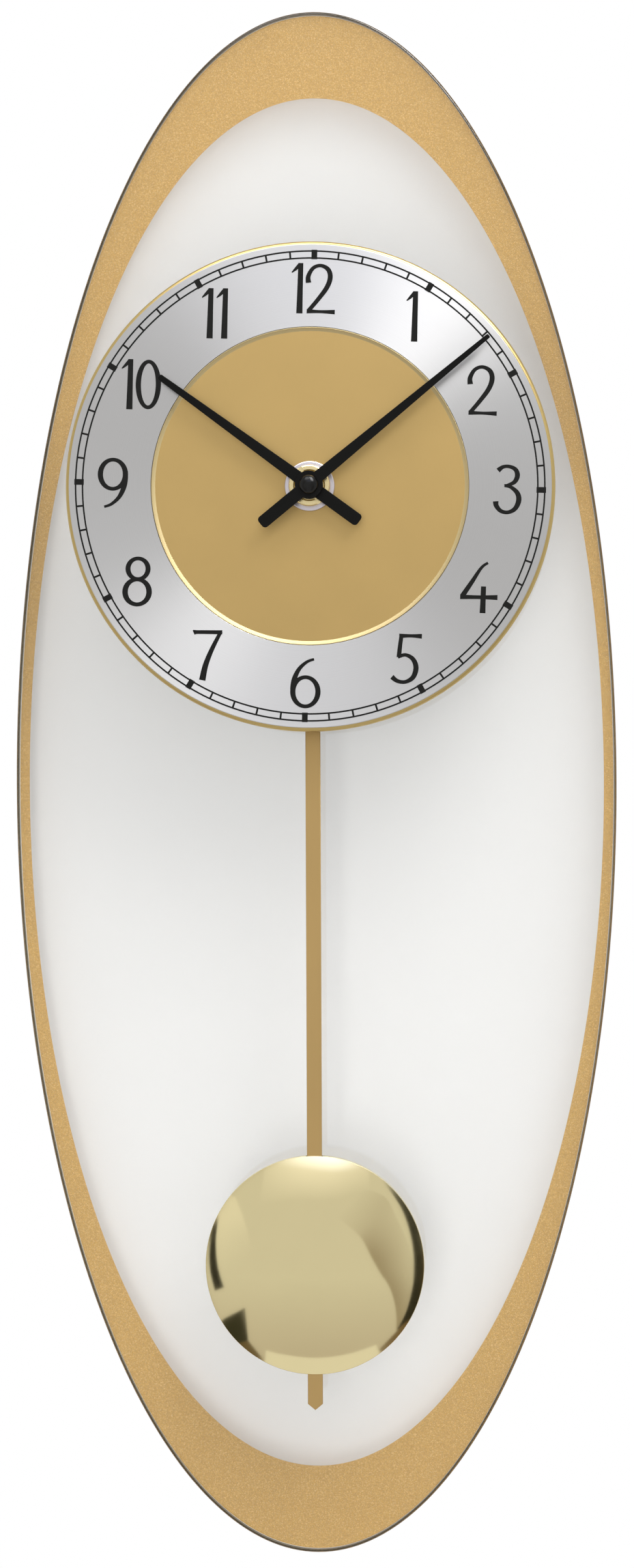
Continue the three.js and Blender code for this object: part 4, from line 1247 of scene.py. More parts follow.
@dataclass
class Movement(Assembly):
    """The quartz movement: its two shells, the bush, the knob and what shows inside the bay."""

    wall: float = 1.5
    corner: float = 3.0
    edge: float = 0.7
    past: float = 1.0
    seam_gap: float = 0.05
    lever_room: float = 4.4
    lever_gap: float = 0.8
    bay_room: float = 0.4
    bay_wall: float = 0.8
    bay_start: float = 0.4
    bay_corner: float = 0.5
    finger_half: float = 8.0
    finger_drop: float = 3.0
    finger_corner: float = 1.8
    bush_hole: float = 5.0
    bush_radius: float = 4.85
    bush_bore: float = 2.75
    bush_flange: float = 6.6
    thread_pitch: float = 0.75
    knob_grips: int = 36
    knob_gap: float = 0.3
    knob_shaft: float = 1.2
    knob_hole: float = 1.5
    knob_well: float = 4.2
    nub: float = 2.7
    nub_length: float = 1.2

    def build(self) -> None:
        """Make the shells, the bush, the knob and the battery, and dress the rest."""
        self.front_shell()
        self.back_shell()
        self.bush()
        self.knob()
        self.battery()
        palette, dress = self.palette, self.bench.dress
        dress(
            palette.white, "intermediate_wheel", "seconds_wheel", "third_wheel", "motion_wheel",
            "hour_wheel")
        dress(palette.brass, "centre_wheel", "minute_shaft")
        dress(palette.magnet, "rotor")
        dress(
            palette.zinc, "battery_contact_plus", "battery_contact_minus", "quartz_crystal",
            "motor_stator", "pivot_pin")
        dress(palette.board, "circuit_board")
        dress(palette.motor_coil, "motor_coil")
        dress(palette.coil, "drive_coil")

    def block(self, shift: float, back: float, front: float, bevel: float = 0.0) -> Solid:
        """Draw a block with the outline of the case, a little smaller.

        Args:
            shift: How much smaller, on each side.
            back: Its back plane.
            front: Its front plane.
            bevel: Radius of its edges.

        Returns:
            The solid.
        """
        outline = rounded(
            Box.of("movement_case").sides, self.corner - min(shift, self.wall), shift)
        return Solid.plate(outline, back, front, bevel=bevel, steps=4)

    def front_shell(self) -> None:
        """Make the front shell, with the slot that the lever comes out of."""
        case, lever = Box.of("movement_case"), Box.of("pendulum_lever")
        seam, front, half = case.back, case.front, lever.right + self.lever_room
        past, through = self.past, 2 * self.wall
        slot = rectangle(-half, case.bottom - past, half, case.bottom + through)
        mesh = carved(
            self.block(0.0, seam + self.seam_gap, front, self.edge), "front_shell",
            (Cut.AWAY, self.block(self.wall, seam - past, front - self.wall)),
            (Cut.AWAY, Solid.plate(slot, seam - past, lever.front + self.lever_gap)),
            (Cut.AWAY, Solid.plate(circle(self.bush_hole, 48), front - through, front + past)))
        self.bench.piece("front_shell", "movement_case", mesh, self.palette.case)

    def back_shell(self) -> None:
        """Make the back shell, with the battery bay, the knob's hole and a finger notch."""
        cell, knob = Box.of("battery"), Box.of("setting_knob").centre
        back, seam = Box.of("movement_cover").back, Box.of("movement_case").back
        middle, half = cell.centre[1], cell.half_height + self.bay_room
        low, front = middle - half, cell.front + self.bay_room
        bay = (
            Box.of("battery_contact_minus").left, low, Box.of("battery_contact_plus").right,
            middle + half)
        out, past, wall, corner = back - self.past, self.past, self.bay_wall, self.bay_corner
        finger = (-self.finger_half, low - self.finger_drop, self.finger_half, low + past)
        mesh = carved(
            self.block(0.0, back, seam - self.seam_gap, self.edge), "back_shell",
            (Cut.AWAY, self.block(self.wall, back + self.wall, seam + past)),
            (Cut.ONTO, Solid.plate(
                rounded(bay, 2 * corner, -wall, 3), back + self.bay_start, front + wall)),
            (Cut.AWAY, Solid.plate(rounded(bay, corner, 0.0, 3), out, front)),
            (Cut.AWAY, Solid.plate(circle(self.knob_hole, 32, knob), out, back + 2 * self.wall)),
            (Cut.AWAY, Solid.plate(circle(self.knob_well, 40, knob), out, back + past / 2)),
            (Cut.AWAY, Solid.plate(
                rounded(finger, self.finger_corner, 0.0, 6), out, back + past)))
        self.bench.piece("back_shell", "movement_cover", mesh, self.palette.case)

    def bush(self) -> None:
        """Make the bush, with the ridges of its thread."""
        box, radius, bore = Box.of("threaded_bush"), self.bush_radius, self.bush_bore
        front, flange = box.front, box.back + 0.6
        thread: list[Point] = []
        for turn in range(int((front - flange - 0.6) / self.thread_pitch)):
            start = flange + 0.3 + turn * self.thread_pitch
            thread += [(radius, start), (radius, start + 0.15), (radius - 0.4, start + 0.4)]
        body = Solid.turned([
            (bore, box.back), (self.bush_flange, box.back), (self.bush_flange, flange),
            (radius, flange), *thread, (radius, front - 0.25), (radius - 0.25, front),
            (bore + 0.2, front), (bore, front - 0.2)], 56)
        self.bench.piece("bush", "threaded_bush", body, self.palette.brass)

    def knob(self) -> None:
        """Make the knob, with grips round it and a dished face, on its shaft."""
        box, rim_front = Box.of("setting_knob"), Box.of("movement_cover").back - self.knob_gap
        back, radius, outline = box.back, box.half_width, []
        for index in range(self.knob_grips * 4):
            turn = 2 * math.pi * index / (self.knob_grips * 4)
            reach = radius - (0.0, 0.12, 0.42, 0.12)[index % 4]
            outline.append((reach * math.cos(turn), reach * math.sin(turn)))
        dish = Solid.turned([
            (0.0, back - self.past), (radius - 1.5, back - self.past), (radius - 1.6, back + 0.35),
            (0.0, back + 0.5)], 64)
        shaft = Solid.plate(
            circle(self.knob_shaft, 32), rim_front - 0.5, box.front, bevel=0.15)
        grip = Solid.plate(outline, back, rim_front, bevel=0.3)
        self.bench.piece(
            "hand_setting_knob", "setting_knob",
            carved(grip, "knob", (Cut.AWAY, dish), (Cut.ONTO, shaft)), self.palette.case,
            body=Body.KNOB, place=box.centre)

    def battery(self) -> None:
        """Make the cell, with its rolled ends and its nub."""
        box, nub = Box.of("battery"), self.nub
        radius, start = box.half_height, box.left - box.centre[0]
        shoulder, end = box.right - self.nub_length - box.centre[0], -start
        lift = (box.back + box.front) / 2
        body = Solid.turned([
            (0.0, start + 0.35), (radius - 2.2, start + 0.35), (radius - 1.6, start),
            (radius - 0.5, start), (radius - 0.12, start + 0.15), (radius, start + 0.6),
            (radius, shoulder - 1.0), (radius - 0.2, shoulder - 0.4), (radius - 0.9, shoulder),
            (nub + 0.9, shoulder - 0.2), (nub, shoulder - 0.1), (nub, end - 0.3),
            (nub - 0.3, end), (0.0, end)], 64)
        self.bench.piece(
            "dry_cell", "battery", body.changed(lambda a, b, c: (c, a, b + lift)),
            self.palette.cell, place=box.centre)


# A stroke is its (x, y, width) points on a grid one unit high, and whether it closes on itself
Stroke = tuple[list[Place], bool]


def loop(x: float, y: float, reach_x: float, reach_y: float, side: float, end: float) -> Stroke:
    """Draw an oval stroke, thicker at its sides than at its ends.

    Args:
        x: Its middle, across.
        y: Its middle, up.
        reach_x: Half its width, to the middle of the stroke.
        reach_y: Half its height, to the middle of the stroke.
        side: Width of the stroke at its sides.
        end: Width of the stroke at its top and bottom.

    Returns:
        The stroke.
    """
    turns = [2 * math.pi * step / 16 for step in range(16)]
    return [
        (x + reach_x * math.cos(turn), y + reach_y * math.sin(turn),
         end + (side - end) * math.cos(turn) ** 2) for turn in turns], True


@dataclass(frozen=True)
class Numerals:
    """The dial's numerals and minute track, as a thin coat of ink."""

    height: float = 15.9
    circle_radius: float = 62.4
    space: float = 0.07
    track_inner: float = 72.0
    track_outer: float = 74.2
    line: float = 0.5
    minute_mark: float = 0.6
    hour_mark: float = 1.83
    overshoot: float = 0.15
    hair: float = 0.0004

    widths = (0.49, 0.22, 0.59, 0.52, 0.75, 0.58, 0.6, 0.57, 0.57, 0.6)

    @property
    def digits(self) -> dict[int, list[Stroke]]:
        """The strokes of each digit."""
        six: list[Stroke] = [
            loop(0.3, 0.335, 0.25, 0.29, 0.105, 0.075),
            ([(0.46, 0.985, 0.05), (0.32, 0.93, 0.06), (0.17, 0.79, 0.08), (0.08, 0.6, 0.1),
              (0.05, 0.42, 0.105), (0.055, 0.3, 0.1)], False),
        ]
        nine = [
            ([(0.6 - x, 1 - y, width) for x, y, width in points], closed)
            for points, closed in six]
        return {
            0: [loop(0.245, 0.5, 0.2, 0.455, 0.105, 0.075)],
            1: [
                ([(0.175, 1.0, 0.1), (0.17, 0.5, 0.11), (0.165, 0.0, 0.125)], False),
                ([(0.0, 0.81, 0.02), (0.08, 0.885, 0.06), (0.15, 0.965, 0.07)], False),
            ],
            2: [
                ([(0.045, 0.61, 0.11), (0.04, 0.74, 0.09), (0.13, 0.9, 0.075), (0.28, 0.955, 0.07),
                  (0.43, 0.88, 0.09), (0.475, 0.72, 0.1), (0.41, 0.52, 0.095), (0.24, 0.28, 0.085),
                  (0.06, 0.06, 0.08)], False),
                ([(0.02, 0.045, 0.085), (0.3, 0.04, 0.06), (0.58, 0.035, 0.09)], False),
            ],
            3: [
                ([(0.07, 0.87, 0.1), (0.16, 0.94, 0.075), (0.28, 0.955, 0.07), (0.41, 0.9, 0.085),
                  (0.455, 0.78, 0.1), (0.4, 0.65, 0.085), (0.27, 0.585, 0.06),
                  (0.2, 0.575, 0.055)], False),
                ([(0.2, 0.57, 0.05), (0.33, 0.545, 0.07), (0.46, 0.43, 0.095), (0.49, 0.28, 0.105),
                  (0.42, 0.12, 0.09), (0.28, 0.045, 0.075), (0.14, 0.07, 0.08), (0.05, 0.17, 0.095),
                  (0.035, 0.26, 0.11)], False),
            ],
            4: [
                ([(0.55, 1.0, 0.05), (0.42, 0.9, 0.06), (0.24, 0.62, 0.085),
                  (0.05, 0.33, 0.1)], False),
                ([(0.01, 0.315, 0.09), (0.4, 0.315, 0.075), (0.75, 0.315, 0.1)], False),
                ([(0.47, 0.53, 0.1), (0.465, 0.25, 0.105), (0.46, 0.0, 0.115)], False),
            ],
            5: [
                ([(0.17, 0.955, 0.09), (0.4, 0.96, 0.065), (0.62, 0.955, 0.095)], False),
                ([(0.215, 0.97, 0.08), (0.19, 0.76, 0.085), (0.17, 0.53, 0.09)], False),
                ([(0.15, 0.535, 0.07), (0.3, 0.58, 0.07), (0.45, 0.5, 0.09), (0.515, 0.33, 0.105),
                  (0.46, 0.14, 0.095), (0.31, 0.045, 0.075), (0.15, 0.06, 0.08),
                  (0.04, 0.14, 0.1)], False),
            ],
            6: six,
            7: [
                ([(0.01, 0.95, 0.1), (0.08, 0.955, 0.075), (0.57, 0.96, 0.08)], False),
                ([(0.545, 0.98, 0.07), (0.37, 0.62, 0.09), (0.25, 0.3, 0.11),
                  (0.19, 0.0, 0.13)], False),
            ],
            8: [loop(0.3, 0.755, 0.2, 0.205, 0.1, 0.075),
                loop(0.29, 0.295, 0.24, 0.25, 0.11, 0.08)],
            9: nine,
        }

    def stroke(self, stroke: Stroke, start: Point, back: float, front: float) -> Solid:
        """Draw one stroke as a thin solid.

        Args:
            stroke: The stroke.
            start: Where on the dial the grid's left side is, at half its height.
            back: Back plane.
            front: Front plane.

        Returns:
            The solid.
        """
        points, closed = stroke
        line = smooth_line(points, closed)
        sides: tuple[list[Point], list[Point]] = ([], [])
        for index, here in enumerate(line):
            before = line[index - 1] if closed or index else here
            after = line[(index + 1) % len(line)] if closed or index < len(line) - 1 else here
            along = Vector((after.x - before.x, after.y - before.y)).normalized()
            for side, half in zip(sides, (here.z / 2, -here.z / 2)):
                x, y = here.x - along.y * half, here.y + along.x * half
                side.append((start[0] + x * self.height, start[1] + (y - 0.5) * self.height))
        left, right = sides
        if closed:
            return Solid.plate(right, back, front, [left])
        return Solid.plate([*right, *reversed(left)], back, front)

    def solid(self, back: float, front: float) -> Solid:
        """Draw all the ink, each stroke a hair higher, so that no two surfaces coincide.

        Args:
            back: Plane of the disc that it lies on.
            front: Plane of the ink's surface.

        Returns:
            The solid.
        """
        levels = accumulate(repeat(self.hair), initial=front + self.hair)
        edge = self.line / 2
        parts = []
        for radius in (self.track_inner, self.track_outer):
            hole = circle(radius - edge, 240)
            parts.append(Solid.plate(circle(radius + edge, 240), back, next(levels), [hole]))
        for minute in range(60):
            half = (self.minute_mark if minute % 5 else self.hour_mark) / 2
            reach = 0.0 if minute % 5 else edge + self.overshoot
            mark = rectangle(-half, self.track_inner - reach, half, self.track_outer + reach)
            parts.append(Solid.plate(mark, back, next(levels)).turned_by(-6 * minute))
        for hour in range(1, 13):
            figures = [int(figure) for figure in str(hour)]
            width = sum(self.widths[figure] for figure in figures)
            start = -(width + self.space * (len(figures) - 1)) / 2
            turn = math.radians(90 - 30 * hour)
            x, y = self.circle_radius * math.cos(turn), self.circle_radius * math.sin(turn)
            for figure in figures:
                for stroke in self.digits[figure]:
                    corner = (x + start * self.height, y)
                    parts.append(self.stroke(stroke, corner, back, next(levels)))
                start += self.widths[figure] + self.space
        return Solid(*parts)


@dataclass
class Dial(Assembly):
    """The dial: its gold rim, the spun ring with the numerals, the sunk centre disc and its nut."""

    numerals: Numerals = Numerals()
    turn: float = -1.4
    bore: float = 5.3
    rim_bevel: float = 1.1
    ring_radius: float = 76.4
    ring_bore: float = 50.35
    relief: float = 0.2
    ink: float = 0.03
    disc_radius: float = 50.2
    disc_thickness: float = 0.8
    lip: float = 1.15
    nut_bore: float = 4.87
    nut_slot: float = 1.2
    nut_slot_ends: tuple[float, float] = (4.0, 8.0)
    nut_slot_depth: float = 1.1
    nut_angle: float = 119.0
    contact: float = 0.01

    def base(self) -> Solid:
        """Draw the gold base, whose front edge is round."""
        box, bevel = Box.of("dial_base"), self.rim_bevel
        radius, back, front = box.top, box.back, box.front
        turns = [math.pi / 2 * (1 - step / 8) for step in range(9)]
        curve = [
            (radius - bevel + bevel * math.sin(turn), front - bevel + bevel * math.cos(turn))
            for turn in turns]
        return Solid.turned([
            (self.bore, back + self.contact), (radius - 0.2, back + self.contact),
            (radius, back + 0.2), *curve, (self.bore, front)], 256)

    def ring(self, back: float, front: float) -> Solid:
        """Draw the ring that carries the numerals.

        Args:
            back: Its back plane.
            front: Its front plane.

        Returns:
            The solid.
        """
        radius, bore = self.ring_radius, self.ring_bore
        return Solid.turned([
            (bore, back + self.contact), (radius - 0.05, back + self.contact),
            (radius, back + 0.1), (radius, front - 0.16), (radius - 0.05, front - 0.05),
            (radius - 0.16, front), (bore + 0.08, front), (bore, front - 0.08)], 256)

    def centre(self, front: float) -> Solid:
        """Draw the sunk centre disc, whose polished lip slopes up to the ring.

        Args:
            front: Plane of the top of its lip.

        Returns:
            The solid, with the lip in the second slot.
        """
        radius, back = self.disc_radius, Box.of("centre_disc").back
        flat, foot = back + self.disc_thickness, radius - self.lip
        return Solid.turned([
            (self.bore, back + self.contact), (radius, back + self.contact),
            (radius, front - 0.06), (radius - 0.1, front), (radius - 0.2, front - 0.08),
            (foot + 0.1, flat + 0.06), (foot - 0.06, flat), (self.bore, flat)], 256, range(2, 6))

    def build(self) -> None:
        """Make the dial from the wall outwards."""
        palette, ring = self.palette, Box.of("numeral_ring")
        front = ring.front - self.relief
        ink = self.numerals.solid(front - 0.1, front + self.ink)
        for name, node, solid, finishes in (
            ("dial_rim", "dial_base", self.base(), [palette.gold_rim]),
            ("numeral_plate", "numeral_ring", self.ring(ring.back, front), [palette.aluminium]),
            ("numeral_ink", "", ink, [palette.ink]),
            ("gold_centre", "centre_disc", self.centre(front),
             [palette.gold_disc, palette.gold_lip]),
        ):
            self.bench.piece(name, node, solid, *finishes, turn=self.turn)
        self.washer("rubber_ring", "rubber_washer", palette.rubber)
        self.washer("dial_washer_ring", "dial_washer", palette.washer)
        self.nut()

    def washer(self, name: str, node: str, finish: Finish) -> None:
        """Make a washer.

        Args:
            name: Name of the piece.
            node: The CAD node that it replaces.
            finish: Its finish.
        """
        box = Box.of(node)
        back, front, radius = box.back, box.front, box.top
        ring = Solid.turned([
            (self.bore, back + self.contact), (radius - 0.15, back + self.contact),
            (radius, back + 0.15), (radius, front - 0.3), (radius - 0.09, front - 0.09),
            (radius - 0.3, front - self.contact), (self.bore, front - self.contact)], 96)
        self.bench.piece(name, node, ring, finish)

    def nut(self) -> None:
        """Make the round nut with its two slots."""
        box, bore, half = Box.of("ring_nut"), self.nut_bore, self.nut_slot / 2
        back, front, radius = box.back, box.front, box.top
        body = Solid.turned([
            (bore, back), (radius - 0.3, back), (radius, back + 0.3), (radius, front - 0.45),
            (radius - 0.13, front - 0.13), (radius - 0.45, front), (bore + 0.15, front),
            (bore, front - 0.15)], 96)
        start, end = self.nut_slot_ends
        blade = Solid.plate(
            rectangle(start, -half, end, half), front - self.nut_slot_depth, front + 1)
        slots = [(Cut.AWAY, blade.turned_by(self.nut_angle + more)) for more in (0, 180)]
        self.bench.piece(
            "slotted_nut", "ring_nut", carved(body, "slotted_nut", *slots), self.palette.brass,
            turn=self.turn)


@dataclass
class Hands(Assembly):
    """The black hands and the nut that holds them."""

    hub: float = 4.4
    root: float = 3.8
    boss: float = 0.3
    overlap: float = 0.1
    tail_length: float = 19.6
    tail_width: float = 4.05
    hour_length: float = 58.5
    hour_tip: float = 1.9
    hour_angle: float = -53.8
    minute_length: float = 73.3
    minute_tip: float = 1.4
    minute_angle: float = 50.8
    pipe: float = 2.75
    shaft: float = 1.35
    dome_foot: float = 0.28
    cap_bore: float = 0.7
    contact: float = 0.01

    def outline(self, length: float, tip: float) -> list[Point]:
        """Draw a hand pointing up, anticlockwise from its tip.

        Args:
            length: From the shaft to the tip.
            tip: Width at the tip.

        Returns:
            The outline.
        """
        corner, tail_corner = tip * 0.3, self.tail_width * 0.3
        shoulder = math.degrees(math.acos(self.root / 2 / self.hub))
        tail_shoulder = math.degrees(math.acos(self.tail_width / 2 / self.hub))
        half, tail = tip / 2, self.tail_width / 2
        right = [
            *reversed(arc((half - corner, length - corner), corner, 0, 90, 4)),
            *arc((0.0, 0.0), self.hub, shoulder, -tail_shoulder, 16),
            *arc((tail - tail_corner, -self.tail_length + tail_corner), tail_corner, 0, -90, 6)]
        return [*((-x, y) for x, y in right), *reversed(right)]

    def build(self) -> None:
        """Make both hands, each with a boss towards the other, and the dome nut."""
        hour, minute = Box.of("hour_hand"), Box.of("minute_hand")
        low, high = minute.back + self.boss, hour.front - self.boss
        self.hand(
            Body.HOUR, self.outline(self.hour_length, self.hour_tip), self.pipe, self.hour_angle,
            (hour.back, high), (high - self.overlap, hour.front))
        self.hand(
            Body.MINUTE, self.outline(self.minute_length, self.minute_tip), self.shaft,
            self.minute_angle, (low, minute.front), (minute.back, low + self.overlap))
        self.cap()

    def hand(
        self, body: Body, outline: Sequence[Point], bore: float, angle: float,
        planes: tuple[float, float], boss: tuple[float, float],
    ) -> None:
        """Make one hand.

        Args:
            body: The body that carries it, which has the name of the hand.
            outline: Its outline, pointing up.
            bore: Radius of its hole.
            angle: How far it points past twelve, in degrees.
            planes: Back and front of its blade.
            boss: Back and front of the boss round its hole.
        """
        hole = [circle(bore, 48)]
        blade = Solid.plate(outline, *planes, hole, 0.12)
        collar = Solid.plate(circle(self.hub - self.boss, 64), *boss, hole, 0.1, 2)
        self.bench.piece(
            f"{body.value}_blade", f"{body.value}_hand", Solid(blade, collar), self.palette.hands,
            body=body, turn=-angle)

    def cap(self) -> None:
        """Make the dome nut."""
        box, rise = Box.of("hand_nut"), 1 - self.dome_foot
        radius, back, front = box.right, box.back, box.front
        turns = [math.pi / 2 * step / 10 for step in range(10)]
        dome = [
            (radius * math.cos(turn),
             back + (front - back) * (self.dome_foot + rise * math.sin(turn))) for turn in turns]
        cap = Solid.turned([
            (self.shaft, back + self.contact), (radius, back + self.contact), *dome, (0.0, front),
            (0.0, front - self.cap_bore), (self.shaft, front - self.cap_bore)], 64)
        self.bench.piece("cap_nut", "hand_nut", cap, self.palette.cap, body=Body.MINUTE)


@dataclass
class Pendulum(Assembly):
    """The rod and bob, on the lever that swings in the movement."""

    rod_width: float = 4.8
    peg: float = 1.15
    peg_height: float = 4.5
    tip: float = 2.0
    bob_radius: float = 35.0
    bob_drop: float = 248.0
    dome_height: float = 6.5
    shell: float = 0.8
    play: float = 0.15

    def build(self) -> None:
        """Make the rod and the bob, and dress the lever and its magnet."""
        self.bench.dress(self.palette.white, "pendulum_lever")
        self.bench.dress(self.palette.magnet, "lever_magnet")
        self.rod()
        self.bob()

    def rod(self) -> None:
        """Make the flat rod, whose edges are broken and whose end is pointed."""
        box, half = Box.of("pendulum_rod"), self.rod_width / 2
        peg = (0.0, Box.of("pendulum_lever").bottom + self.peg_height)
        outline = [
            (-half, box.top), (-half, box.bottom + self.tip), (0.0, box.bottom),
            (half, box.bottom + self.tip), (half, box.top)]
        rod = Solid.plate(outline, box.back, box.front, [circle(self.peg, 32, peg)], 0.18)
        self.bench.piece(
            "rod", "pendulum_rod", rod, self.palette.gold_rod, body=Body.PENDULUM)

    def dome(self, radius: float, base: float, height: float, steps: int) -> list[Point]:
        """Draw the profile of a shallow dome, from its rim to its top.

        Args:
            radius: Radius of its rim.
            base: Plane of its rim.
            height: Its height over the rim.
            steps: How many pieces the profile has.

        Returns:
            Its (radius, plane) points.
        """
        sphere = (radius ** 2 + height ** 2) / (2 * height)
        turns = [math.asin(radius / sphere) * (1 - step / steps) for step in range(steps + 1)]
        return [
            (sphere * math.sin(turn), base + height - sphere * (1 - math.cos(turn)))
            for turn in turns]

    def bob(self) -> None:
        """Make the polished shell, its back plate and its spring."""
        box, rod, cover = Box.of("bob_shell"), Box.of("pendulum_rod"), Box.of("bob_back")
        radius, inside, height = self.bob_radius, self.bob_radius - self.shell, self.dome_height
        back, base, place = box.back, box.front - height, (0.0, -self.bob_drop)
        shell = Solid.turned([
            *reversed(self.dome(inside, base, height - self.shell, 14)), (inside, back + 0.15),
            (inside + 0.15, back), (radius - 0.25, back), (radius, back + 0.25),
            (radius, base - 0.2), (radius - 0.02, base - 0.02),
            *self.dome(radius - 0.12, base + 0.12, height - 0.12, 36)], 160)
        half = self.rod_width / 2 + 2 * self.play
        slot = Solid.plate(
            rectangle(-half, -radius - 1, half, radius + 1), rod.back - self.play,
            rod.front + self.play)
        self.bench.piece(
            "bob_dome", "bob_shell", carved(shell, "bob_dome", (Cut.AWAY, slot)),
            self.palette.bob, body=Body.BOB, place=place)
        plate = Solid.plate(
            circle(inside - self.play, 128), cover.back, cover.front, bevel=0.1, steps=2)
        self.bench.piece(
            "bob_cover", "bob_back", plate, self.palette.brass, body=Body.BOB, place=place)
        self.bench.dress(self.palette.zinc, "bob_clip")


# The studio


class Shows(Enum):
    """In what a lamp or a card shows."""

    MATT = "matt surfaces"
    GLOSS = "glossy surfaces"


def show_only(item: bpy.types.Object, shows: Shows) -> None:
    """Hide a lamp or a card from the camera, and from the surfaces that it isn't meant for.

    Args:
        item: The lamp or the card.
        shows: In what it shows.
    """
    item.visible_camera = item.visible_transmission = item.visible_volume_scatter = False
    item.visible_diffuse = shows is Shows.MATT
    item.visible_glossy = shows is Shows.GLOSS


@dataclass
class Lamp:
    """One soft box."""

    name: str
    place: Place
    size: tuple[float, float]
    radiance: float
    shows: Shows

    def build(self, target: Vector) -> None:
        """Hang the lamp and aim it.

        Args:
            target: What it is aimed at.
        """
        light = bpy.data.lights.new(self.name, "AREA")
        light.shape = "RECTANGLE"
        light.size, light.size_y = self.size
        light.energy = math.pi * self.size[0] * self.size[1] * self.radiance
        lamp = bpy.data.objects.new(self.name, light)
        lamp.location = self.place
        lamp.rotation_euler = (target - lamp.location).to_track_quat("-Z", "Y").to_euler()
        bpy.context.scene.collection.objects.link(lamp)
        show_only(lamp, self.shows)
        log.info("%s: radiance %.2f, in %s", self.name, self.radiance, self.shows.value)


@dataclass(frozen=True)
class Card:
    """A card or cloth that shows only in the bob, held between two of its edges.

    Each edge is a row of points on the bob, where the camera sees it: how far across and up, in
    radii of the bob, and how dense the card is there, from 0 to 1.
    """

    name: str
    colour: Colour
    near: tuple[Place, ...]
    far: tuple[Place, ...]

    def grid(self) -> list[list[Vector]]:
        """Lay the points of four strips between the two edges, row by row."""
        edges = list(zip(smooth_line(self.near), smooth_line(self.far)))
        return [[start.lerp(end, step / 4) for start, end in edges] for step in range(5)]

    def paint(self) -> bpy.types.Material:
        """Make the material, which is clear where the card is thin."""
        material, graph = new_material(self.name)
        dense = graph.add("Attribute", output="Fac", attribute_name="dense")
        glow = graph.add("Emission", {"Color": graph.colour(self.colour), "Strength": 1.0})
        card = graph.mixed(dense, graph.add("BsdfTransparent"), glow)
        graph.add("OutputMaterial", {"Surface": card})
        return material


